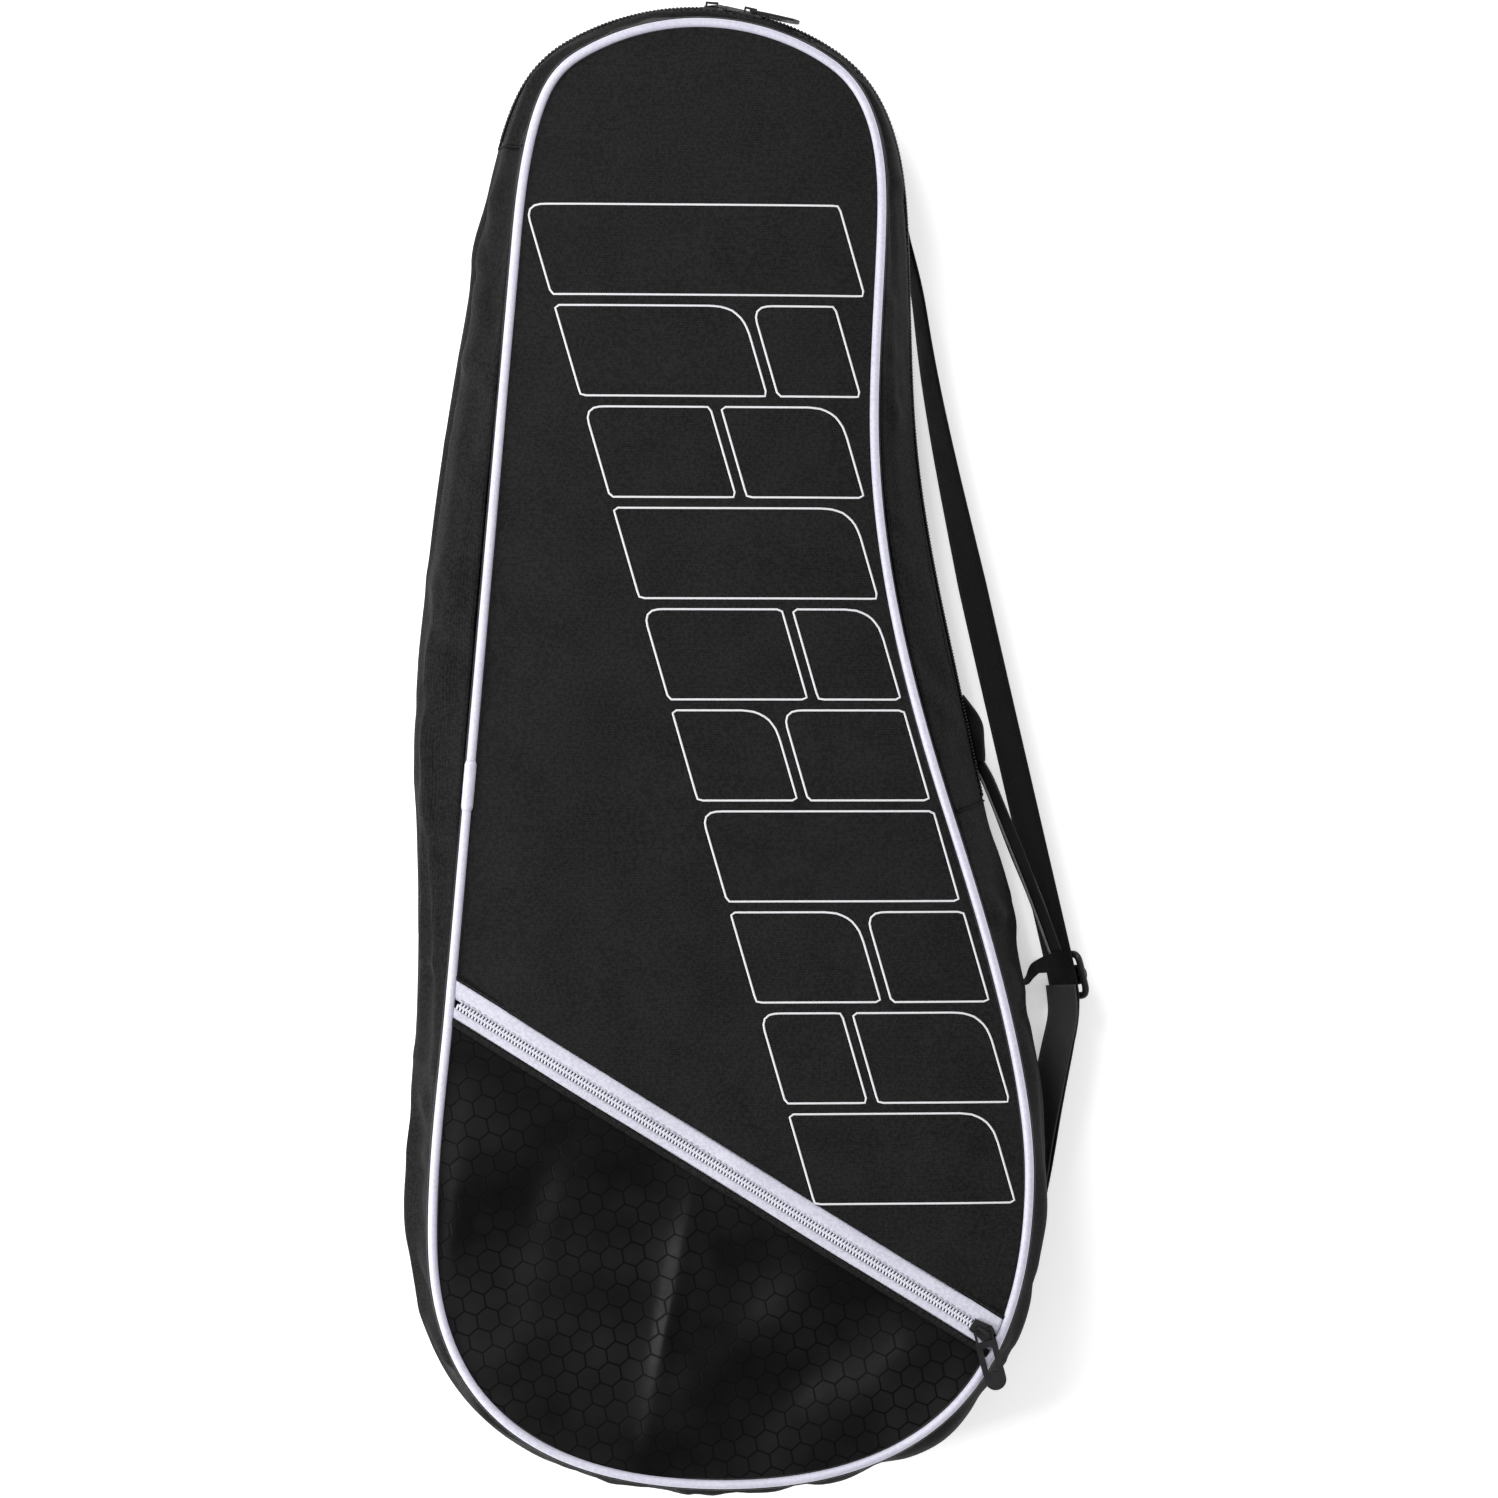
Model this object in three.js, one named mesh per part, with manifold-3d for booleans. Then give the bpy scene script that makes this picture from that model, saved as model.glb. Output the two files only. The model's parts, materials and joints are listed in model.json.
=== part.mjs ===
// Soft racket and paddle case, lying on its back panel.
// +X is the side with the shoulder strap, +Y the handle end, +Z out of the front panel; millimetres.

import * as THREE from 'three';
import { mergeVertices } from 'three/addons/utils/BufferGeometryUtils.js';
import Module from 'manifold-3d';

const wasm = await Module();
wasm.setup();

// ---- driving dimensions ----

const DEPTH = 76;              // top of the front piping above the back face
const MID = DEPTH / 2;         // height of the main zip
const GAP = 0.3;               // clearance between touching pieces
const FACETS = 120;            // straight facets round the whole edge

const TOP_CENTRE = new THREE.Vector2(-17, 249.5);   // centre of the round handle end
const TOP_RADIUS = 119;
const TOP_HALF_ANGLE = THREE.MathUtils.degToRad(35);

const PIPING_RADIUS = 2.6;
const BINDING_RADIUS = 2.2;
const WALL = 2.5;              // padded gusset wall
const CLOTH = 1.2;             // coated cloth panel
const BACK_SWELL = 0.6;        // share of the gusset's bulge that the back edge keeps

const SLOT_HALF = 5.5;         // half of the zip's opening between the gusset's two strips
const COIL_NEAR = 0.8;         // zip centre to the near side of a coil
const COIL_FAR = 2.9;
const TAPE_NEAR = 3.2;
const TAPE_FAR = 9;
const TAPE_THICK = 0.6;
const COIL_OUT = -2.4;         // outer side of the main coils, measured from the wall's outer face
const COIL_IN = -4.4;

const FOLD_LEFT = new THREE.Vector2(-105.5, 306);   // the front panel's fold when the case opens
const FOLD_RIGHT = new THREE.Vector2(107, -29);

const POCKET_CENTRE = new THREE.Vector2(-92.5, -156.8);  // a point on the pocket zip's centre line
const POCKET_ANGLE = THREE.MathUtils.degToRad(-32);
const POCKET_UPPER_TAPE = 10;
const POCKET_LOWER_TAPE = 7;
const POCKET_SLIDER_AT = 257;  // along the pocket zip, from POCKET_CENTRE

const PIPING_SLEEVE_RADIUS = 3.5;

// Bottom and top of the flat layers, and how far inside the piping's line they end.
const BACK_PANEL_Z = [0, 1.6];
const BACK_FOAM_Z = [2, 6];
const BACK_LINING_Z = [6.4, 7];
const FRONT_LINING_Z = [66, 66.6];
const FRONT_FOAM_Z = [67, 70.4];
const FLAP_FOAM_Z = [68.9, 71.6];
const POCKET_BACKING_Z = [70.8, 71.4];
const FRONT_TOP = DEPTH - 1.8;
const FRONT_CLOTH_Z = [FRONT_TOP - CLOTH, FRONT_TOP];
const POCKET_TAPE_Z = [FRONT_TOP - 1, FRONT_TOP - 0.4];
const POCKET_COIL_Z = [FRONT_TOP - 1.6, FRONT_TOP + 0.6];
const BACK_INSET = 2.6;
const CLOTH_INSET = 3.8;
const PAD_INSET = 4;
const COIL_INSET = 4.4;

const SLIDER_LENGTH = 12;
const PIN_UP = 1.1;            // pull's pin above the slider's top plate
const SLIDER_A_ANGLE = THREE.MathUtils.degToRad(3.4);    // clockwise from the top of the round end
const SLIDER_B_ANGLE = THREE.MathUtils.degToRad(12);
const PULL_A_TURN = THREE.MathUtils.degToRad(43);
const POCKET_PULL_TURN = THREE.MathUtils.degToRad(-43);

const STRAP_WIDTH = 25;
const STRAP_THICK = 1.8;
const STRAP_UP = 16;           // height of the strap's middle line
const STRAP_LEAN = 62;         // degrees between its width and the floor, on the straight stretch
const SEWN_LEAN = 86;          // where it nears the stitching
const STRAIGHT_FROM = new THREE.Vector3(137, 46, STRAP_UP);
const GLIDE_AT = new THREE.Vector3(175, -117, STRAP_UP);
const ANCHOR_Z = [5, 28];

// ---- the edge of the front panel, anticlockwise from the middle of the head end ----

function pointOnTop(angle) {
  return new THREE.Vector2(
    TOP_CENTRE.x + TOP_RADIUS * Math.sin(angle),
    TOP_CENTRE.y + TOP_RADIUS * Math.cos(angle),
  );
}

function makeEdge() {
  const right = pointOnTop(TOP_HALF_ANGLE);
  const left = pointOnTop(-TOP_HALF_ANGLE);
  const edge = new THREE.Path();
  edge.moveTo(-2, -370);
  edge.bezierCurveTo(107, -370, 150, -311, 150, -214);
  edge.bezierCurveTo(150, -165, 128, -91, 109.6, -34.3);
  edge.bezierCurveTo(88, 32, 70.6, 100, 70.6, 168);
  edge.bezierCurveTo(70.6, 205, 74.7, 250, 74.7, 280);
  edge.bezierCurveTo(74.7, 312, right.x + 16, right.y - 11.5, right.x, right.y);
  edge.absarc(
    TOP_CENTRE.x, TOP_CENTRE.y, TOP_RADIUS,
    Math.PI / 2 - TOP_HALF_ANGLE, Math.PI / 2 + TOP_HALF_ANGLE, false,
  );
  edge.bezierCurveTo(left.x - 16, left.y - 11.5, -108, 290, -110.5, 255);
  edge.lineTo(-144.4, -135);
  edge.bezierCurveTo(-148.3, -175, -152.5, -205, -152.5, -245);
  edge.bezierCurveTo(-152.5, -320, -110, -370, -2, -370);
  return edge;
}

const edge = makeEdge();

// How far the gusset's middle stands out past the front edge: most beside the waist.
function bulge(y) {
  const fromWaist = Math.min(y, 345) - 60;
  const reach = fromWaist > 0 ? 230 : 165;
  return 8 + 20.5 * Math.exp(-((fromWaist / reach) ** 2));
}

// Share of the bulge at a height: none at the front edge, all at the zip, BACK_SWELL at the back.
function swell(z) {
  if (z > MID) return Math.cos(((z - MID) / (DEPTH - MID)) * Math.PI / 2);
  return BACK_SWELL + (1 - BACK_SWELL) * Math.cos(((MID - z) / MID) * Math.PI / 2);
}

// Place on the wall: u along the edge (0 to 1), out from the wall's face, and height.
function wallPoint(u, out, z) {
  const at = ((u % 1) + 1) % 1;
  const point = edge.getPointAt(at);
  const tangent = edge.getTangentAt(at);
  const reach = bulge(point.y) * swell(z) + out;
  return new THREE.Vector3(point.x + tangent.y * reach, point.y - tangent.x * reach, z);
}

// The edge parameter of the point nearest to (x, y).
function edgeNear(x, y) {
  const target = new THREE.Vector2(x, y);
  const samples = 1000;
  let best = 0;
  let bestDistance = Infinity;
  for (let i = 0; i < samples; i += 1) {
    const distance = edge.getPointAt(i / samples).distanceTo(target);
    if (distance < bestDistance) {
      bestDistance = distance;
      best = i / samples;
    }
  }
  return best;
}

// ---- solids ----

function closedGeometry(positions, indices) {
  const geometry = new THREE.BufferGeometry();
  geometry.setAttribute('position', new THREE.Float32BufferAttribute(positions, 3));
  geometry.setIndex(indices);
  return geometry;
}

// A solid through rings of points. Rings close on themselves; so does the row, if it is a loop.
function loft(rings, section, isLoop = false) {
  const count = rings[0].length;
  const positions = rings.flat().flatMap((p) => [p.x, p.y, p.z]);
  const indices = [];
  const spans = isLoop ? rings.length : rings.length - 1;
  for (let i = 0; i < spans; i += 1) {
    const here = i * count;
    const next = ((i + 1) % rings.length) * count;
    for (let k = 0; k < count; k += 1) {
      const l = (k + 1) % count;
      indices.push(here + k, here + l, next + l, here + k, next + l, next + k);
    }
  }
  if (!isLoop) {
    const last = (rings.length - 1) * count;
    for (const [a, b, c] of THREE.ShapeUtils.triangulateShape(section, [])) {
      indices.push(a, c, b, last + a, last + b, last + c);
    }
  }
  return outward(closedGeometry(positions, indices));
}

function outward(geometry) {
  const p = geometry.attributes.position;
  const index = geometry.index.array;
  const [a, b, c] = [new THREE.Vector3(), new THREE.Vector3(), new THREE.Vector3()];
  let volume = 0;
  for (let i = 0; i < index.length; i += 3) {
    a.fromBufferAttribute(p, index[i]);
    b.fromBufferAttribute(p, index[i + 1]);
    c.fromBufferAttribute(p, index[i + 2]);
    volume += a.dot(b.cross(c));
  }
  if (volume < 0) {
    for (let i = 0; i < index.length; i += 3) [index[i + 1], index[i + 2]] = [index[i + 2], index[i + 1]];
  }
  return geometry;
}

// Section corners as points, anticlockwise: [out, z] pairs.
function corners(pairs) {
  return pairs.map(([out, z]) => new THREE.Vector2(out, z));
}

// A band between two outward distances and two heights, with its faces split into levels.
function band(outIn, outOut, zA, zB, levels = 1) {
  const z0 = Math.min(zA, zB);
  const z1 = Math.max(zA, zB);
  const pairs = [];
  for (let i = 0; i <= levels; i += 1) pairs.push([outOut, z0 + ((z1 - z0) * i) / levels]);
  for (let i = levels; i >= 0; i -= 1) pairs.push([outIn, z0 + ((z1 - z0) * i) / levels]);
  return corners(pairs);
}

function roundSection(out, z, radius, sides = 8) {
  const points = [];
  for (let i = 0; i < sides; i += 1) {
    const angle = ((i + 0.5) / sides) * 2 * Math.PI;
    points.push(new THREE.Vector2(out + radius * Math.cos(angle), z + radius * Math.sin(angle)));
  }
  return points;
}

// Sweep a section along the wall from edge parameter u0 to u1, or right round.
// A round section keeps its shape by following one level of the bulge.
function alongWall(section, u0, u1, level = null) {
  const isLoop = u1 - u0 >= 1;
  const inset = isLoop ? 0 : (GAP / 2) / edge.getLength();
  const stations = [];
  if (!isLoop) stations.push(u0 + inset);
  const first = isLoop ? 0 : Math.ceil((u0 + inset) * FACETS + 0.02);
  const last = isLoop ? FACETS - 1 : Math.floor((u1 - inset) * FACETS - 0.02);
  for (let i = first; i <= last; i += 1) stations.push(i / FACETS);
  if (!isLoop) stations.push(u1 - inset);
  const rings = stations.map((u) => section.map((s) => {
    if (level === null) return wallPoint(u, s.x, s.y);
    const p = wallPoint(u, s.x, level);
    p.z = s.y;
    return p;
  }));
  return loft(rings, section, isLoop);
}

// A flat layer inside the edge, between two heights; level says which edge it follows.
function layer(inset, [z0, z1], level) {
  const points = [];
  for (let i = 0; i < FACETS; i += 1) {
    const p = wallPoint(i / FACETS, -inset, level);
    points.push(new THREE.Vector2(p.x, p.y));
  }
  const outline = new THREE.Shape(points);
  const geometry = new THREE.ExtrudeGeometry(outline, { depth: z1 - z0, bevelEnabled: false });
  geometry.translate(0, 0, z0);
  return geometry;
}

function slab(x0, x1, y0, y1, z0, z1) {
  const geometry = new THREE.BoxGeometry(x1 - x0, y1 - y0, z1 - z0);
  geometry.translate((x0 + x1) / 2, (y0 + y1) / 2, (z0 + z1) / 2);
  return geometry;
}

// ---- booleans ----

function toSolid(geometry) {
  const bare = geometry.clone();
  bare.deleteAttribute('normal');
  bare.deleteAttribute('uv');
  const merged = mergeVertices(bare, 1e-4);
  return new wasm.Manifold(new wasm.Mesh({
    numProp: 3,
    vertProperties: new Float32Array(merged.attributes.position.array),
    triVerts: new Uint32Array(merged.index.array),
  }));
}

function toGeometry(solid) {
  const mesh = solid.getMesh();
  return closedGeometry(Array.from(mesh.vertProperties), Array.from(mesh.triVerts));
}

function joined(...geometries) {
  return toGeometry(geometries.map(toSolid).reduce((sum, next) => sum.add(next)));
}

function cutBy(geometry, ...cutters) {
  return toGeometry(cutters.map(toSolid).reduce((rest, next) => rest.subtract(next), toSolid(geometry)));
}

// Keep the part of a solid on the left of a line, at least `clear` away from it.
function leftOf(geometry, origin, angle, clear) {
  const size = 2000;
  const half = new THREE.BoxGeometry(size, size, size);
  half.translate(0, size / 2 + clear, 0);
  half.rotateZ(angle);
  half.translate(origin.x, origin.y, 0);
  return toGeometry(toSolid(geometry).intersect(toSolid(half)));
}

const FOLD_ANGLE = Math.atan2(FOLD_RIGHT.y - FOLD_LEFT.y, FOLD_RIGHT.x - FOLD_LEFT.x);

function flapSide(geometry) {
  return leftOf(geometry, FOLD_LEFT, FOLD_ANGLE, GAP / 2);
}

function caseSide(geometry) {
  return leftOf(geometry, FOLD_LEFT, FOLD_ANGLE + Math.PI, GAP / 2);
}

// The part of a solid above (or below) the pocket zip by `away` millimetres or more.
function abovePocket(geometry, away) {
  return leftOf(geometry, POCKET_CENTRE, POCKET_ANGLE, away);
}

function belowPocket(geometry, away) {
  return leftOf(geometry, POCKET_CENTRE, POCKET_ANGLE + Math.PI, away);
}

// ---- the model ----

const paddleCase = new THREE.Group();

function add(name, geometry, finish, parent = paddleCase) {
  geometry.computeVertexNormals();
  const mesh = new THREE.Mesh(geometry, new THREE.MeshStandardMaterial(finish));
  mesh.name = name;
  parent.add(mesh);
  return mesh;
}

const BLACK_CLOTH = { color: 0x17171a, roughness: 0.8 };
const COATED_CLOTH = { color: 0x1d1e20, roughness: 0.4 };
const LINING = { color: 0x2a2b2e, roughness: 0.7 };
const FOAM = { color: 0x55585c, roughness: 0.9 };
const WHITE_PIPING = { color: 0xdcdce8, roughness: 0.45 };
const WHITE_TAPE = { color: 0xdcdce8, roughness: 0.7 };
const GREY_COIL = { color: 0xb9bcc6, roughness: 0.5 };
const BLACK_COIL = { color: 0x0e0e10, roughness: 0.5 };
const PLASTIC = { color: 0x0e0e10, roughness: 0.45 };
const METAL = { color: 0x141416, roughness: 0.4, metalness: 0.5 };
const WEBBING = { color: 0x18181a, roughness: 0.8 };

const uFoldLeft = edgeNear(FOLD_LEFT.x, FOLD_LEFT.y);
const uFoldRight = edgeNear(FOLD_RIGHT.x, FOLD_RIGHT.y);
const uHeadRight = edgeNear(150, -214);
const uHeadLeft = edgeNear(-152.5, -245);
const SPARE = 0.02;            // a strip runs this much past the fold before it is cut there

function addBack() {
  const binding = roundSection(0, BINDING_RADIUS, BINDING_RADIUS);
  add('back_panel', layer(BACK_INSET, BACK_PANEL_Z, 0), BLACK_CLOTH);
  add('back_foam', layer(PAD_INSET, BACK_FOAM_Z, 0), FOAM);
  add('back_lining', layer(PAD_INSET, BACK_LINING_Z, 0), LINING);
  add('back_binding', alongWall(binding, 0, 1, 0), BLACK_CLOTH);
}

function addGussets() {
  const seam = 0.5;
  const low = 2 * BINDING_RADIUS + seam;
  const high = DEPTH - 2 * PIPING_RADIUS - seam;
  const full = band(-WALL, 0, low, high, 6);
  const rear = band(-WALL, 0, low, MID - SLOT_HALF, 3);
  const front = band(-WALL, 0, MID + SLOT_HALF, high, 3);
  const zipReach = [uFoldRight - SPARE, uFoldLeft + SPARE];
  add('left_gusset', caseSide(alongWall(full, uFoldLeft - SPARE, uHeadLeft)), BLACK_CLOTH);
  add('head_gusset', alongWall(full, uHeadLeft, 1 + uHeadRight), BLACK_CLOTH);
  add('right_gusset', caseSide(alongWall(full, uHeadRight, uFoldRight + SPARE)), BLACK_CLOTH);
  add('zip_gusset_rear', flapSide(alongWall(rear, ...zipReach)), BLACK_CLOTH);
  add('zip_gusset_front', flapSide(alongWall(front, ...zipReach)), BLACK_CLOTH);
}

function addMainZip() {
  const tapeOut = -WALL - 2 * GAP;
  const tapeIn = tapeOut - TAPE_THICK;
  const zipReach = [uFoldRight - SPARE, uFoldLeft + SPARE];
  for (const [side, sign] of [['rear', -1], ['front', 1]]) {
    const coil = band(COIL_IN, COIL_OUT, MID + sign * COIL_NEAR, MID + sign * COIL_FAR);
    const tape = band(tapeIn, tapeOut, MID + sign * TAPE_NEAR, MID + sign * TAPE_FAR);
    add(`main_coil_${side}`, flapSide(alongWall(coil, ...zipReach)), BLACK_COIL);
    add(`main_tape_${side}`, flapSide(alongWall(tape, ...zipReach)), BLACK_CLOTH);
  }
}

function addFront() {
  const cloth = layer(CLOTH_INSET, FRONT_CLOTH_Z, DEPTH);
  const lining = layer(PAD_INSET, FRONT_LINING_Z, DEPTH);
  const pipingUp = DEPTH - PIPING_RADIUS;
  const piping = alongWall(roundSection(0, pipingUp, PIPING_RADIUS), 0, 1, DEPTH);
  add('flap_panel', flapSide(cloth), BLACK_CLOTH);
  add('flap_foam', flapSide(layer(PAD_INSET, FLAP_FOAM_Z, DEPTH)), FOAM);
  add('flap_lining', flapSide(lining), LINING);
  add('flap_piping', flapSide(piping), WHITE_PIPING);
  add('front_panel', abovePocket(caseSide(cloth), POCKET_UPPER_TAPE + GAP), BLACK_CLOTH);
  add('front_foam', caseSide(layer(PAD_INSET, FRONT_FOAM_Z, DEPTH)), FOAM);
  add('front_lining', caseSide(lining), LINING);
  add('front_piping', caseSide(piping), WHITE_PIPING);

  // The sleeve over the piping's lapped ends, on the side away from the strap.
  const sleeveTop = edgeNear(-132.2, -5);
  const sleeveBottom = edgeNear(-134, -30);
  const sleeve = alongWall(roundSection(0, pipingUp, PIPING_SLEEVE_RADIUS), sleeveTop, sleeveBottom, DEPTH);
  const core = roundSection(0, pipingUp, PIPING_RADIUS + GAP);
  add('piping_join', cutBy(
    sleeve, alongWall(core, sleeveTop - SPARE, sleeveBottom + SPARE, DEPTH),
  ), WHITE_PIPING);
}

function addPocket() {
  const backingOver = 4;       // the backing reaches this far past the upper tape
  const cloth = layer(CLOTH_INSET, FRONT_CLOTH_Z, DEPTH);
  const backing = layer(PAD_INSET, POCKET_BACKING_Z, DEPTH);
  const tape = layer(CLOTH_INSET, POCKET_TAPE_Z, DEPTH);
  const coil = layer(COIL_INSET, POCKET_COIL_Z, DEPTH);
  const upperTape = abovePocket(tape, TAPE_NEAR);
  const lowerTape = belowPocket(tape, TAPE_NEAR);
  add('pocket_panel', belowPocket(cloth, POCKET_LOWER_TAPE + GAP), COATED_CLOTH);
  add('pocket_backing', belowPocket(backing, -POCKET_UPPER_TAPE - backingOver), LINING);
  add('pocket_tape_upper', belowPocket(upperTape, -POCKET_UPPER_TAPE), WHITE_TAPE);
  add('pocket_tape_lower', abovePocket(lowerTape, -POCKET_LOWER_TAPE), WHITE_TAPE);
  add('pocket_coil_upper', belowPocket(abovePocket(coil, COIL_NEAR), -COIL_FAR), GREY_COIL);
  add('pocket_coil_lower', abovePocket(belowPocket(coil, COIL_NEAR), -COIL_FAR), GREY_COIL);
}

// ---- zip sliders: local x along the zip, y across it, z out of the case ----

function plateShape(length, halfWidth, halfWidthFlap) {
  const tail = 0.7;            // share of the width left at the narrow end
  const nose = 0.6;            // and at the wide end, past its shoulders
  const shoulder = length / 2 - 3;
  const shape = new THREE.Shape();
  shape.moveTo(-length / 2, -halfWidthFlap * tail);
  shape.lineTo(shoulder, -halfWidthFlap);
  shape.lineTo(length / 2, -halfWidthFlap * nose);
  shape.lineTo(length / 2, halfWidth * nose);
  shape.lineTo(shoulder, halfWidth);
  shape.lineTo(-length / 2, halfWidth * tail);
  return shape;
}

function plate(length, halfWidth, halfWidthFlap, z0, z1) {
  const shape = plateShape(length, halfWidth, halfWidthFlap);
  const geometry = new THREE.ExtrudeGeometry(shape, { depth: z1 - z0, bevelEnabled: false });
  geometry.translate(0, 0, z0);
  return geometry;
}

// topPlate and innerPlate are [bottom, top] heights; flapHalf is the half width on the flap's side.
function sliderBody(topPlate, innerPlate, half, flapHalf, innerFlapHalf) {
  const up = topPlate[1];
  const sink = 0.1;            // joined solids run this far into each other
  const bridgeReach = 3.3;     // the bridge that holds the pull's pin
  const bridgeHalf = 0.8;
  const bridgeRise = 3.2;
  const bridgeThick = 1;
  return joined(
    plate(SLIDER_LENGTH, half, flapHalf, ...topPlate),
    plate(SLIDER_LENGTH, half, innerFlapHalf, ...innerPlate),
    slab(1, 5, -0.5, 0.5, innerPlate[0] + sink, up - sink),
    slab(-bridgeReach, bridgeThick - bridgeReach, -bridgeHalf, bridgeHalf, up - sink, up + bridgeRise),
    slab(bridgeReach - bridgeThick, bridgeReach, -bridgeHalf, bridgeHalf, up - sink, up + bridgeRise),
    slab(-bridgeReach, bridgeReach, -bridgeHalf, bridgeHalf, up + bridgeRise - bridgeThick, up + bridgeRise),
  );
}

// A pull lying along +x from its pin at the origin: two arms, a plate with a slot, a round end.
function pullTab(length, width, thickness) {
  const half = width / 2;
  const plateFrom = 5.5;
  const slotFrom = 9;
  const slotTo = length - half - 4;
  const slotHalf = half * 0.45;
  const outline = new THREE.Shape();
  outline.moveTo(plateFrom, -half);
  outline.lineTo(length - half, -half);
  outline.absarc(length - half, 0, half, -Math.PI / 2, Math.PI / 2, false);
  outline.lineTo(plateFrom, half);
  const slot = new THREE.Path();
  slot.moveTo(slotFrom, -slotHalf);
  slot.lineTo(slotTo, -slotHalf);
  slot.lineTo(slotTo, slotHalf);
  slot.lineTo(slotFrom, slotHalf);
  outline.holes.push(slot);
  const plate = { depth: thickness, bevelEnabled: false, curveSegments: 8 };
  const body = new THREE.ExtrudeGeometry(outline, plate);
  body.translate(0, 0, -thickness / 2);

  const pinRadius = 0.5;
  const armIn = 3.6;           // inner and outer faces of the two arms
  const armOut = 4.8;
  const armHalf = 0.6;
  const pin = new THREE.CylinderGeometry(pinRadius, pinRadius, armIn + armOut, 8);
  const arms = [1, -1].map((side) => slab(
    -armHalf, plateFrom + 0.5, Math.min(side * armIn, side * armOut), Math.max(side * armIn, side * armOut),
    -armHalf, armHalf,
  ));
  return joined(body, pin, ...arms);
}

function addPocketSlider() {
  const place = new THREE.Group();
  place.rotation.z = POCKET_ANGLE;
  place.position.set(
    POCKET_CENTRE.x + POCKET_SLIDER_AT * Math.cos(POCKET_ANGLE),
    POCKET_CENTRE.y + POCKET_SLIDER_AT * Math.sin(POCKET_ANGLE),
    0,
  );
  paddleCase.add(place);
  const half = 4.6;
  const top = [POCKET_COIL_Z[1] + 0.4, POCKET_COIL_Z[1] + 1.5];
  const inner = [POCKET_BACKING_Z[1] + GAP, POCKET_COIL_Z[0] - GAP];
  add('pocket_slider', sliderBody(top, inner, half, half, half), METAL, place);
  const pull = add('pocket_pull', pullTab(31, 11, 1.6), PLASTIC, place);
  pull.position.z = top[1] + PIN_UP;
  pull.rotation.z = POCKET_PULL_TURN;
}

// A main slider at an angle (clockwise from the top) on the round end of the gusset.
function addMainSlider(letter, angle, pullTurn) {
  const radius = TOP_RADIUS + bulge(TOP_CENTRE.y + TOP_RADIUS);
  const outDirection = new THREE.Vector3(Math.sin(angle), Math.cos(angle), 0);
  const alongZip = new THREE.Vector3(Math.cos(angle), -Math.sin(angle), 0);
  const backwards = new THREE.Vector3(0, 0, -1);
  const basis = new THREE.Matrix4().makeBasis(alongZip, backwards, outDirection);
  const place = new THREE.Group();
  place.quaternion.setFromRotationMatrix(basis);
  place.position.set(TOP_CENTRE.x, TOP_CENTRE.y, MID);
  paddleCase.add(place);
  const top = [radius + COIL_OUT + 1.3, radius + COIL_OUT + 2.5];
  const inner = [radius + COIL_IN - 1.9, radius + COIL_IN - 0.9];
  add(`main_slider_${letter}`, sliderBody(top, inner, 4.5, 3, 0.5), METAL, place);
  const pull = add(`main_pull_${letter}`, pullTab(26, 10, 1.4), METAL, place);
  pull.position.z = top[1] + PIN_UP;
  pull.rotation.z = pullTurn;
}

// ---- shoulder strap ----

// Flat webbing along a curve; lean is the angle of its width above the floor, in degrees.
function webbing(points, width, thickness, leanStart, leanEnd, steps) {
  const curve = new THREE.CatmullRomCurve3(points.map((p) => new THREE.Vector3(...p)));
  const section = corners([
    [-width / 2, -thickness / 2], [width / 2, -thickness / 2],
    [width / 2, thickness / 2], [-width / 2, thickness / 2],
  ]);
  const up = new THREE.Vector3(0, 0, 1);
  const rings = [];
  for (let i = 0; i <= steps; i += 1) {
    const t = i / steps;
    const centre = curve.getPointAt(t);
    const side = new THREE.Vector3().crossVectors(curve.getTangentAt(t), up).normalize();
    const lean = THREE.MathUtils.degToRad(leanStart + (leanEnd - leanStart) * t);
    const across = side.clone().multiplyScalar(-Math.cos(lean)).addScaledVector(up, Math.sin(lean));
    const normal = side.clone().multiplyScalar(Math.sin(lean)).addScaledVector(up, Math.cos(lean));
    rings.push(section.map((s) => centre.clone().addScaledVector(across, s.x).addScaledVector(normal, s.y)));
  }
  return loft(rings, section);
}

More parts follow.
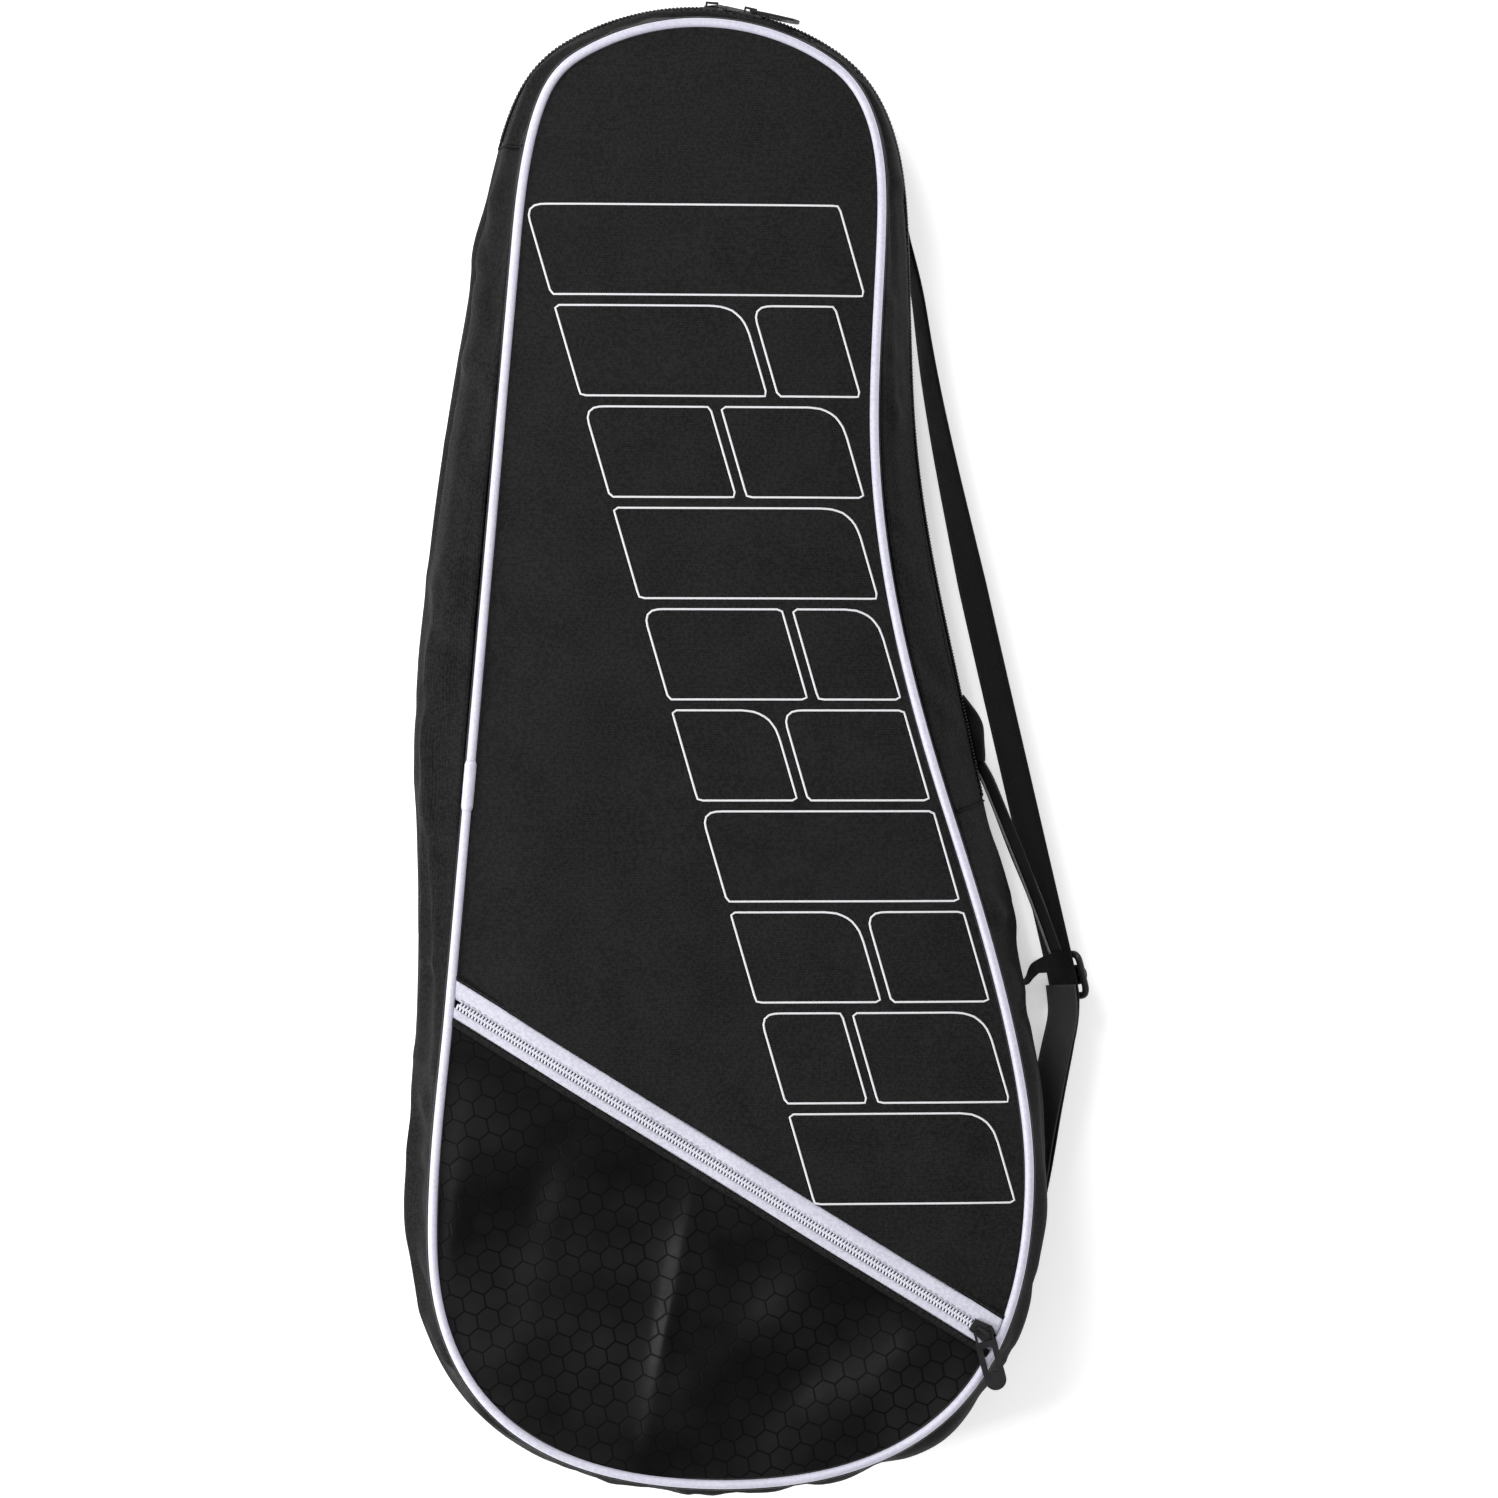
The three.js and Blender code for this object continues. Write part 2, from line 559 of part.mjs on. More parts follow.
function addStrap() {
  const anchor = band(0.5, 2.1, ...ANCHOR_Z, 2);
  add('strap_anchor_upper', alongWall(anchor, edgeNear(75, 262), edgeNear(75, 296)), WEBBING);
  add('strap_anchor_lower', alongWall(anchor, edgeNear(135, -296), edgeNear(146.5, -250)), WEBBING);

  const along = GLIDE_AT.clone().sub(STRAIGHT_FROM).normalize();
  const end = GLIDE_AT.clone().addScaledVector(along, 14);
  const straight = [0.25, 0.5, 0.75].map((t) => STRAIGHT_FROM.clone().lerp(end, t).toArray());
  add('strap_upper', webbing([
    [97.5, 258, STRAP_UP], [102.5, 212, STRAP_UP], [111, 164, STRAP_UP], [127.6, 87, STRAP_UP],
  ], STRAP_WIDTH, STRAP_THICK, 80, STRAP_LEAN, 10), WEBBING);
  add('strap_middle', webbing([
    [127.8, 86, STRAP_UP], STRAIGHT_FROM.toArray(), ...straight, end.toArray(),
  ], STRAP_WIDTH, STRAP_THICK, STRAP_LEAN, STRAP_LEAN, 12), WEBBING);
  add('strap_lower', webbing([
    [178.6, -136.5, STRAP_UP], [176.4, -149, STRAP_UP], [172.2, -172, STRAP_UP],
    [168.4, -198, STRAP_UP], [164.6, -224, STRAP_UP], [159.6, -246, STRAP_UP],
  ], STRAP_WIDTH, 2 * STRAP_THICK, STRAP_LEAN, SEWN_LEAN, 12), WEBBING);
  add('strap_branch', webbing([
    [133, -13, 34], [145.5, -44, 35], [159, -78, 36], [168, -103, 37],
  ], 8, 1.6, 35, 35, 8), WEBBING);
  add('strap_tail', webbing([
    [166.6, -114, STRAP_UP], [159, -113.5, STRAP_UP], [151, -116, STRAP_UP],
  ], 12, 1.4, 40, 80, 6), WEBBING);
  add('side_loop', webbing([
    [122, 27, 34], [127, 19, 34], [130, 8, 34], [130.5, -5, 34],
  ], 10, 1.6, 80, 80, 8), WEBBING);
}

function addGlide() {
  const place = new THREE.Group();
  const along = GLIDE_AT.clone().sub(STRAIGHT_FROM).normalize();
  const side = new THREE.Vector3(-along.y, along.x, 0);
  const lean = THREE.MathUtils.degToRad(STRAP_LEAN);
  const across = side.clone().multiplyScalar(Math.cos(lean)).add(new THREE.Vector3(0, 0, Math.sin(lean)));
  const normal = new THREE.Vector3().crossVectors(along, across);
  place.quaternion.setFromRotationMatrix(new THREE.Matrix4().makeBasis(along, across, normal));
  place.position.copy(GLIDE_AT);
  paddleCase.add(place);

  const halfStrap = STRAP_WIDTH / 2 + 0.6;
  const halfLength = 12;
  const railWidth = 2.6;
  const endWidth = 3;
  const middleHalf = 2;
  const face = STRAP_THICK / 2 + 0.4;       // the bars' near faces, above and below the webbing
  const far = face + 2;
  const reach = halfStrap + 1;              // the bars run this far into the rails
  add('tri_glide', joined(
    slab(-halfLength, halfLength, halfStrap, halfStrap + railWidth, -far, far),
    slab(-halfLength, halfLength, -halfStrap - railWidth, -halfStrap, -far, far),
    slab(-halfLength, endWidth - halfLength, -reach, reach, -far, -face),
    slab(halfLength - endWidth, halfLength, -reach, reach, -far, -face),
    slab(-middleHalf, middleHalf, -reach, reach, face, far),
  ), PLASTIC, place);
}

addBack();
addGussets();
addMainZip();
addFront();
addPocket();
addPocketSlider();
addMainSlider('a', SLIDER_A_ANGLE, PULL_A_TURN);
addMainSlider('b', SLIDER_B_ANGLE, 0);
addStrap();
addGlide();

export default paddleCase;
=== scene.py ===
import json
import math
import random

import bmesh
import bpy
import numpy as np
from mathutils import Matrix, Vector


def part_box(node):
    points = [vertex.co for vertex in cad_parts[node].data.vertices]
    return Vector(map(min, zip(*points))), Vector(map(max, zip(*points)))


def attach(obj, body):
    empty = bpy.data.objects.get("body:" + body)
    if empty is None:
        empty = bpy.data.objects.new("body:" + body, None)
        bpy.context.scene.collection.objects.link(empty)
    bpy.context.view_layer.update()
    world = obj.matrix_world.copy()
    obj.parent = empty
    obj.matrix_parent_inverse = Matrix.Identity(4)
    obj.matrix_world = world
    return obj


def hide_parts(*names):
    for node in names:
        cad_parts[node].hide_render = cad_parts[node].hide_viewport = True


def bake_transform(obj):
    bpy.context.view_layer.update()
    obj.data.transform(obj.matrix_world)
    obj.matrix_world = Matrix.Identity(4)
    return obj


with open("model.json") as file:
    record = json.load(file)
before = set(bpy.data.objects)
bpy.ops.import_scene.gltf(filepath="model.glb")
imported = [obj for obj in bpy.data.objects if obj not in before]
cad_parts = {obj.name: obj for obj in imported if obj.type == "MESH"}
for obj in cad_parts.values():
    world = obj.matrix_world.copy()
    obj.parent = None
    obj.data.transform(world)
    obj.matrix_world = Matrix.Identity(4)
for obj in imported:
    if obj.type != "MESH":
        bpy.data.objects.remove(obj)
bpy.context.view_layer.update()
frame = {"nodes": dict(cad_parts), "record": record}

# A soft racket and paddle case, lying on its back. Metres; +X strap side, +Y handle end, +Z front.

MM = 0.001
RECORD = frame["record"]
JOINTS = {joint["name"]: joint for joint in RECORD["behaviour"]["joints"]}
UP = np.array([0, 0, 1.0])

# ---- driving sizes of the looks ----

EDGE_INSET = 4 * MM             # the foam layers' edge lies this far inside the piping's line
PIPING_RADIUS = 2.3 * MM
BINDING_RADIUS = 2.1 * MM
WALL_THICK = 2.2 * MM
CLOTH_THICK = 1.0 * MM
TOOTH_PITCH = 1.8 * MM
TOOTH_SLANT = 0.18
STITCH_PITCH = 3.4 * MM
STITCH_SIZE = (1.1 * MM, 0.28 * MM, 0.28 * MM)      # half length, width and height
PRINT_WIDTH = 1.0 * MM
HEX_PITCH = 11.1 * MM
HEX_TURN = math.radians(-10)
ZIP_Z = (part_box("main_coil_rear")[0].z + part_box("main_coil_front")[1].z) / 2
FRONT_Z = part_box("front_panel")[1].z
PIPING_Z = (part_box("front_piping")[0].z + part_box("front_piping")[1].z) / 2
BACK_SWELL = 0.6
SEED = 7


# ---- the case's edge, read from the frame ----

def node_points(name):
    mesh = frame["nodes"][name].data
    points = np.empty(len(mesh.vertices) * 3)
    mesh.vertices.foreach_get("co", points)
    return points.reshape(-1, 3)


def smooth_loop(points, width):
    """Averages a closed row of points with its neighbours, width points each way."""
    kernel = np.hanning(2 * width + 3)[1:-1]
    kernel /= kernel.sum()
    padded = np.concatenate([points[-width:], points, points[:width]])
    return np.stack([np.convolve(padded[:, k], kernel, "valid") for k in range(points.shape[1])], 1)


def path_steps(path):
    """Distance along a path at each of its points."""
    return np.concatenate([[0], np.cumsum(np.linalg.norm(np.diff(path, axis=0), axis=1))])


def points_at(at, steps, path):
    """Points of a path at the distances at."""
    return np.stack([np.interp(at, steps, path[:, k]) for k in range(path.shape[1])], 1)


def unit(vectors):
    return vectors / np.linalg.norm(vectors, axis=-1)[..., None]


def path_directions(path, loop=False):
    if loop:
        return unit(np.roll(path, -1, axis=0) - np.roll(path, 1, axis=0))
    return unit(np.gradient(path, axis=0))


def resample_loop(points, count):
    closed = np.concatenate([points, points[:1]])
    steps = path_steps(closed)
    return points_at(np.linspace(0, steps[-1], count, endpoint=False), steps, closed)


def turned_right(directions):
    return np.stack([directions[:, 1], -directions[:, 0]], 1)


def read_edge(count=1500):
    """The line of the front piping, anticlockwise from the middle of the head end."""
    rim = []
    for name in ("front_foam", "flap_foam"):
        points = node_points(name)
        rim.append(points[points[:, 2] > points[:, 2].max() - 0.2 * MM][:, :2])
    rim = np.concatenate(rim)
    middle = np.array([0, -60 * MM])
    angle = np.arctan2(rim[:, 0] - middle[0], -(rim[:, 1] - middle[1]))
    rim = rim[np.argsort(angle)]
    keep = np.linalg.norm(rim - np.roll(rim, 1, axis=0), axis=1) > 1 * MM
    loop = smooth_loop(resample_loop(rim[keep], count), 10)
    tangent = path_directions(loop, loop=True)
    line = resample_loop(loop + EDGE_INSET * turned_right(tangent), count)
    start = int(np.argmin(line[:, 1] + np.abs(line[:, 0]) * 0.01))
    return np.roll(line, -start, axis=0)


EDGE = read_edge()
EDGE_LENGTH = float(path_steps(np.concatenate([EDGE, EDGE[:1]]))[-1])
EDGE_STEP = EDGE_LENGTH / len(EDGE)
EDGE_NORMAL = smooth_loop(turned_right(unit(np.roll(EDGE, -3, axis=0) - np.roll(EDGE, 3, axis=0))), 8)


def edge_at(s):
    """Points and outward directions on the edge, at distances s along it."""
    s = np.mod(np.asarray(s, float), EDGE_LENGTH) / EDGE_STEP
    index = np.arange(len(EDGE) + 1)
    pick = [np.interp(s, index, np.append(a[:, k], a[0, k])) for a in (EDGE, EDGE_NORMAL) for k in (0, 1)]
    return np.stack(pick[:2], -1), unit(np.stack(pick[2:], -1))


def bulge(y):
    """How far the gusset's middle stands out past the edge: most beside the waist."""
    from_waist = np.minimum(y, 345 * MM) - 60 * MM
    reach = np.where(from_waist > 0, 230 * MM, 165 * MM)
    return (8 + 20.5 * np.exp(-(from_waist / reach) ** 2)) * MM


def swell(z):
    """Share of the bulge at a height: none at the piping, all at the zip."""
    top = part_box("front_piping")[1].z
    upper = np.cos(np.clip((z - ZIP_Z) / (top - ZIP_Z), 0, 1) * math.pi / 2)
    lower = BACK_SWELL + (1 - BACK_SWELL) * np.cos(np.clip((ZIP_Z - z) / ZIP_Z, 0, 1) * math.pi / 2)
    return np.where(z > ZIP_Z, upper, lower)


SAG_AT = (118 * MM, -318 * MM)   # the head end's lower corner, where the gusset bags out
SAG = 5.5 * MM
SAG_REACH = 62 * MM


def sag(point, z):
    away = np.hypot(point[..., 0] - SAG_AT[0], point[..., 1] - SAG_AT[1])
    return SAG * np.exp(-(away / SAG_REACH) ** 2) * np.sin(np.clip(z / FRONT_Z, 0, 1) * math.pi)


def wall_point(s, out, z):
    """Points on the gusset: along the edge, out from its face, and height."""
    s, out, z = np.broadcast_arrays(np.asarray(s, float), out, z)
    point, normal = edge_at(s)
    reach = bulge(point[..., 1]) * swell(z) + sag(point, z) + out
    place = point + normal * reach[..., None]
    return np.concatenate([place, z[..., None]], -1)


def outward_at(s):
    """Level directions out of the gusset, at distances s along the edge."""
    _, outward = edge_at(s)
    return np.concatenate([outward, np.zeros(outward.shape[:-1] + (1,))], -1)


def edge_near(x, y):
    distance = np.hypot(EDGE[:, 0] - x, EDGE[:, 1] - y)
    return float(np.argmin(distance) * EDGE_STEP)


EDGE_TOP = int(np.argmax(EDGE[:, 1]))


def sides_at(y, inset=0.0, level=None):
    """The left and right edge at heights y, moved in by inset; level follows the wall at that z."""
    line = EDGE - EDGE_NORMAL * inset
    if level is not None:
        line = line + EDGE_NORMAL * (bulge(EDGE[:, 1]) * float(swell(np.array(level))))[:, None]
    right, left = line[:EDGE_TOP + 1], line[EDGE_TOP:][::-1]
    order_right, order_left = np.argsort(right[:, 1]), np.argsort(left[:, 1])
    return (np.interp(y, left[order_left, 1], left[order_left, 0]),
            np.interp(y, right[order_right, 1], right[order_right, 0]),
            max(left[:, 1].min(), right[:, 1].min()), min(left[:, 1].max(), right[:, 1].max()))


def edge_distance(points):
    """How far inside the edge each (x, y) lies."""
    coarse = EDGE[::5]
    best = np.full(len(points), 1e9)
    for start in range(0, len(coarse), 40):
        part = coarse[start:start + 40]
        gap = np.hypot(points[:, None, 0] - part[None, :, 0], points[:, None, 1] - part[None, :, 1])
        best = np.minimum(best, gap.min(1))
    return best


# ---- the fold and the pocket zip, read from the joints ----

FOLD_AT = np.array(JOINTS["flap_open"]["pos_m"][:2])
FOLD_ALONG = np.array(JOINTS["flap_open"]["axis"][:2])
FOLD_OUT = np.array([-FOLD_ALONG[1], FOLD_ALONG[0]])

POCKET_AT = np.array(JOINTS["pocket_pull_flip"]["pos_m"][:2])
POCKET_ALONG = -np.array(JOINTS["pocket_slider_run"]["axis"][:2])
POCKET_UP = np.array([-POCKET_ALONG[1], POCKET_ALONG[0]])
UPPER_TAPE = 10 * MM
LOWER_TAPE = 7 * MM
TAPE_GAP = 1.9 * MM             # from the pocket zip's middle to each tape


def bend_with_flap(piece):
    """Bakes a piece's placement into its mesh; it does not bend the piece with the flap."""
    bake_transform(piece)


def settle(piece, slot, *stands_for, body="root", opens_from_zip=False):
    """Rides a piece on its body, or bakes it in place for the flap, and hides the CAD nodes it stands for."""
    if body == "flap":
        bend_with_flap(piece)
    else:
        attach(piece, body)
    if stands_for:
        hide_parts(*stands_for)


# ---- mesh helpers ----

def make_piece(name, points, faces, materials, face_materials=None, uv=None):
    mesh = bpy.data.meshes.new(name)
    mesh.from_pydata([tuple(p) for p in points], [], [tuple(int(i) for i in f) for f in faces])
    for material in materials:
        mesh.materials.append(material)
    if face_materials is not None:
        mesh.polygons.foreach_set("material_index", np.asarray(face_materials, np.int32))
    if uv is not None:
        layer = mesh.uv_layers.new(name="cloth")
        loops = np.empty(len(mesh.loops), np.int32)
        mesh.loops.foreach_get("vertex_index", loops)
        layer.data.foreach_set("uv", np.asarray(uv, np.float32)[loops].ravel())
    mesh.polygons.foreach_set("use_smooth", np.ones(len(mesh.polygons), bool))
    mesh.update()
    piece = bpy.data.objects.new(name, mesh)
    bpy.context.scene.collection.objects.link(piece)
    return piece


def grid_quads(rows, columns, loop_rows=False, loop_columns=False):
    r = np.arange(rows if loop_rows else rows - 1)
    c = np.arange(columns if loop_columns else columns - 1)
    a, b = np.meshgrid(r, c, indexing="ij")
    a2, b2 = (a + 1) % rows, (b + 1) % columns
    quads = np.stack([a * columns + b, a * columns + b2, a2 * columns + b2, a2 * columns + b], -1)
    return quads.reshape(-1, 4)


def grid_normals(grid, outward):
    """Unit normals of a grid of points, on the side that outward shows."""
    normal = np.cross(np.gradient(grid, axis=0), np.gradient(grid, axis=1))
    length = np.linalg.norm(normal, axis=-1)[..., None]
    normal = normal / np.maximum(length, 1e-12)
    return -normal if (normal * outward).sum() < 0 else normal


def grid_uv(grid):
    """Distances along the rows and columns, so that a weave keeps its size."""
    along = path_steps(grid[:, grid.shape[1] // 2])
    across = path_steps(grid[grid.shape[0] // 2])
    return np.stack(np.meshgrid(along, across, indexing="ij"), -1).reshape(-1, 2)


def skin(name, grid, thickness, materials, outward, uv=None):
    """A closed sheet with thickness. Its outside is the grid, and its lining is the offset face."""
    rows, columns = grid.shape[:2]
    inner = grid - grid_normals(grid, outward) * thickness
    points = np.concatenate([grid.reshape(-1, 3), inner.reshape(-1, 3)])
    outer_faces = grid_quads(rows, columns)
    count = rows * columns
    faces = [outer_faces, outer_faces[:, ::-1] + count]
    marks = [np.zeros(len(outer_faces)), np.full(len(outer_faces), len(materials) - 1)]
    index = np.arange(count).reshape(rows, columns)
    for rim in (index[:, 0], index[:, -1], index[0], index[-1]):
        rim_faces = np.stack([rim[:-1], rim[1:], rim[1:] + count, rim[:-1] + count], 1)
        faces.append(rim_faces)
        marks.append(np.zeros(len(rim_faces)))
    flat = grid_uv(grid) if uv is None else uv
    piece = make_piece(name, points, np.concatenate(faces), materials, np.concatenate(marks),
                       np.concatenate([flat, flat]))
    face_outward(piece)
    return piece


def face_outward(piece):
    shape = bmesh.new()
    shape.from_mesh(piece.data)
    bmesh.ops.recalc_face_normals(shape, faces=shape.faces)
    shape.to_mesh(piece.data)
    shape.free()


def cut(piece, at, out):
    """Removes what lies on the far side of an upright plane; out points to that side."""
    shape = bmesh.new()
    shape.from_mesh(piece.data)
    everything = list(shape.verts) + list(shape.edges) + list(shape.faces)
    bmesh.ops.bisect_plane(
        shape, geom=everything, dist=1e-6,
        plane_co=(at[0], at[1], 0), plane_no=(out[0], out[1], 0), clear_outer=True,
    )
    shape.to_mesh(piece.data)
    shape.free()
    return piece


def swept(name, path, rings, widths, materials, loop=False):
    """A closed solid through rings of points along a path; widths, if any, are its cloth coordinates."""
    count, sides = rings.shape[:2]
    faces = list(map(tuple, grid_quads(count, sides, loop_rows=loop, loop_columns=True)))
    if not loop:
        faces.append(tuple(range(sides)))
        faces.append(tuple((count - 1) * sides + k for k in reversed(range(sides))))
    uv = None
    if widths is not None:
        uv = np.stack(np.meshgrid(path_steps(path), widths, indexing="ij"), -1).reshape(-1, 2)
    piece = make_piece(name, rings.reshape(-1, 3), faces, materials, uv=uv)
    face_outward(piece)
    return piece


def tube(name, path, radius, materials, sides=14, loop=False):
    """A round tube along a path; radius is one number, or one for each point."""
    along = path_directions(path, loop)
    side = unit(np.cross(along, UP))
    rise = np.cross(side, along)
    turn = np.linspace(0, 2 * math.pi, sides, endpoint=False)
    ring = np.cos(turn)[None, :, None] * side[:, None] + np.sin(turn)[None, :, None] * rise[:, None]
    rings = path[:, None] + ring * np.broadcast_to(radius, len(path))[:, None, None]
    return swept(name, path, rings, turn * np.mean(radius), materials, loop)


def bead_shape(rings=5, sides=8):
    """A unit bead: points on a rounded box, and its faces."""
    points, faces = [], []
    for i in range(rings):
        tilt = math.pi * (i + 0.5) / rings
        for k in range(sides):
            turn = 2 * math.pi * k / sides
            around = (math.cos(turn), math.sin(turn))
            direction = np.array([math.cos(tilt), math.sin(tilt) * around[0], math.sin(tilt) * around[1]])
            points.append(np.sign(direction) * np.abs(direction) ** 0.7)
    for i in range(rings - 1):
        for k in range(sides):
            after = (k + 1) % sides
            faces.append((i * sides + k, i * sides + after, (i + 1) * sides + after, (i + 1) * sides + k))
    faces.append(tuple(reversed(range(sides))))
    faces.append(tuple((rings - 1) * sides + k for k in range(sides)))
    return np.array(points), faces


def beads(name, centres, along, across, up, size, material):
    """Many small beads in one piece: zip teeth or stitches. size is half length, width and height."""
    shape, faces = bead_shape()
    world = (centres[:, None]
             + shape[None, :, 0, None] * size[0] * along[:, None]
             + shape[None, :, 1, None] * size[1] * across[:, None]
             + shape[None, :, 2, None] * size[2] * up[:, None])
    all_faces = []
    for i in range(len(centres)):
        base = i * len(shape)
        all_faces.extend(tuple(base + k for k in face) for face in faces)
    return make_piece(name, world.reshape(-1, 3), all_faces, [material])


def folds(u, v, seed, count, u_range, v_range, length, width, height, angle, spread):
    """Soft ridges and hollows scattered on a surface with coordinates u and v."""
    chance = random.Random(seed)
    total = np.zeros_like(u)
    for _ in range(count):
        cu, cv = chance.uniform(*u_range), chance.uniform(*v_range)
        turn = math.radians(angle + chance.uniform(-spread, spread))
        du, dv = u - cu, v - cv
        along = du * math.cos(turn) + dv * math.sin(turn)
        across = -du * math.sin(turn) + dv * math.cos(turn)
        reach = length * chance.uniform(0.6, 1.4)
        size = width * chance.uniform(0.7, 1.5)
        total += chance.uniform(-1, 1) * height * np.exp(-(along / reach) ** 2 - (across / size) ** 2)
    return total


# ---- materials ----

class Nodes:
    """Small helper for building one material's node tree."""

    def __init__(self, name):
        self.material = bpy.data.materials.new(name)
        self.material.use_nodes = True
        self.tree = self.material.node_tree
        self.shader = self.tree.nodes["Principled BSDF"]

    def add(self, kind, **values):
        node = self.tree.nodes.new(kind)
        for key, value in values.items():
            setattr(node, key, value)
        return node

    def link(self, source, target):
        self.tree.links.new(source, target)

    def feed(self, value, socket):
        """Links another node's output to a socket, or sets the socket to a plain value."""
        if isinstance(value, (int, float, tuple)):
            socket.default_value = value
        else:
            self.link(value, socket)

    def math(self, operation, *values):
        node = self.add("ShaderNodeMath", operation=operation)
        for place, value in enumerate(values):
            self.feed(value, node.inputs[place])
        return node.outputs[0]

    def vector(self, operation, *values):
        node = self.add("ShaderNodeVectorMath", operation=operation)
        for place, value in enumerate(values):
            self.feed(value, node.inputs[place])
        return node.outputs["Value"] if operation == "DOT_PRODUCT" else node.outputs["Vector"]

    def cloth_place(self, pitch, turn=0.0):
        """Cloth coordinates, one unit for each pitch."""
        source = self.add("ShaderNodeUVMap", uv_map="cloth")
        mapping = self.add("ShaderNodeMapping")
        mapping.inputs["Scale"].default_value = (1 / pitch, 1 / pitch, 1)
        mapping.inputs["Rotation"].default_value = (0, 0, turn)
        self.link(source.outputs["UV"], mapping.inputs["Vector"])
        return mapping.outputs["Vector"]

    def noise(self, scale, detail=3.0):
        node = self.add("ShaderNodeTexNoise")
        node.inputs["Scale"].default_value = scale
        node.inputs["Detail"].default_value = detail
        self.link(self.add("ShaderNodeTexCoord").outputs["Object"], node.inputs["Vector"])
        return node.outputs["Fac"]

    def ramp(self, value, low, high, start=0.0, end=1.0):
        node = self.add("ShaderNodeMapRange")
        node.inputs["From Min"].default_value = start
        node.inputs["From Max"].default_value = end
        node.inputs["To Min"].default_value = low
        node.inputs["To Max"].default_value = high
        self.link(value, node.inputs["Value"])
        return node.outputs["Result"]

    def blend_colours(self, factor, low, high):
        node = self.add("ShaderNodeMix", data_type="RGBA")
        for place, value in (("A_Color", low), ("B_Color", high)):
            self.feed((*value, 1) if isinstance(value, tuple) else value, socket_of(node.inputs, place))
        self.link(factor, socket_of(node.inputs, "Factor_Float"))
        return socket_of(node.outputs, "Result_Color")

    def bump(self, height, distance, strength=1.0, below=None):
        node = self.add("ShaderNodeBump")
        node.inputs["Distance"].default_value = distance
        node.inputs["Strength"].default_value = strength
        self.link(height, node.inputs["Height"])
        if below is not None:
            self.link(below, node.inputs["Normal"])
        return node.outputs["Normal"]

    def finish(self, colour=None, roughness=None, normal=None):
        for value, name in ((colour, "Base Color"), (roughness, "Roughness"), (normal, "Normal")):
            if value is not None:
                self.link(value, self.shader.inputs[name])
        return self.material


def socket_of(sockets, identifier):
    """A Mix node's sockets share their names, so they are picked by identifier."""
    return next(socket for socket in sockets if socket.identifier == identifier)


def weave_height(nodes, pitch, slant=0.5):
    """Threads crossing over and under, each row shifted by slant of a thread."""
    place = nodes.cloth_place(pitch)
    split = nodes.add("ShaderNodeSeparateXYZ")
    nodes.link(place, split.inputs[0])
    x, y = split.outputs[0], split.outputs[1]
    shifted = nodes.math("ADD", x, nodes.math("MULTIPLY", nodes.math("FLOOR", y), slant))
    over = nodes.math("ABSOLUTE", nodes.math("SINE", nodes.math("MULTIPLY", shifted, math.pi)))
    rows = nodes.math("ABSOLUTE", nodes.math("SINE", nodes.math("MULTIPLY", y, math.pi)))
    return nodes.math("MULTIPLY", over, rows)


def cloth_material(name, dark, light, pitch, roughness, slant=0.5, sheen=0.02, depth=0.12 * MM, coat=0.0,
                   shine=0.16):
    nodes = Nodes(name)
    weave = weave_height(nodes, pitch, slant)
    mottle = nodes.noise(38, 4)
    patches = nodes.ramp(mottle, 0.0, 1.0, 0.35, 0.65)
    flecks = nodes.ramp(nodes.noise(620, 3), 0.0, 1.0, 0.38, 0.62)
    mix = nodes.math("ADD", nodes.math("MULTIPLY", weave, 0.35), nodes.math("MULTIPLY", patches, 0.22))
    mix = nodes.math("ADD", mix, nodes.math("MULTIPLY", flecks, 0.43))
    colour = nodes.blend_colours(mix, dark, light)
    rough = nodes.ramp(nodes.math("ADD", mottle, nodes.math("MULTIPLY", weave, -0.25)),
                       roughness - 0.08, roughness + 0.1, 0.2, 0.8)
    soft = nodes.bump(nodes.noise(160, 3), 0.25 * MM, 0.5)
    normal = nodes.bump(weave, depth, 0.8, soft)
    nodes.shader.inputs["Specular IOR Level"].default_value = shine
    nodes.shader.inputs["Sheen Weight"].default_value = sheen
    nodes.shader.inputs["Sheen Roughness"].default_value = 0.45
    nodes.shader.inputs["Coat Weight"].default_value = coat
    nodes.shader.inputs["Coat Roughness"].default_value = 0.35
    return nodes.finish(colour, rough, normal)


def hexagon_line(nodes, pitch, turn, width):
    """1 on the lines of a honeycomb with upright sides, 0 inside its cells."""
    place = nodes.cloth_place(pitch, turn)
    step = (1.0, math.sqrt(3), 1.0)
    half = tuple(v / 2 for v in step)
    wrapped = []
    for shift in ((0.0, 0.0, 0.0), half):
        moved = nodes.vector("SUBTRACT", place, shift)
        flat = nodes.vector("MULTIPLY", moved, (1, 1, 0))
        cell = nodes.vector("WRAP", flat, step, (0, 0, 0))
        centred = nodes.vector("SUBTRACT", cell, half)
        wrapped.append(nodes.vector("MULTIPLY", centred, (1, 1, 0)))
    a, b = wrapped
    nearer = nodes.math("LESS_THAN", nodes.vector("DOT_PRODUCT", a, a), nodes.vector("DOT_PRODUCT", b, b))
    pick = nodes.add("ShaderNodeMix", data_type="VECTOR")
    nodes.link(b, socket_of(pick.inputs, "A_Vector"))
    nodes.link(a, socket_of(pick.inputs, "B_Vector"))
    nodes.link(nearer, socket_of(pick.inputs, "Factor_Float"))
    mirrored = nodes.vector("ABSOLUTE", socket_of(pick.outputs, "Result_Vector"))
    slanted = nodes.vector("DOT_PRODUCT", mirrored, (0.5, math.sqrt(3) / 2, 0))
    split = nodes.add("ShaderNodeSeparateXYZ")
    nodes.link(mirrored, split.inputs[0])
    reach = nodes.math("MAXIMUM", slanted, split.outputs[0])
    return nodes.ramp(reach, 0.0, 1.0, 0.5 - width / pitch, 0.5 - 0.35 * width / pitch)


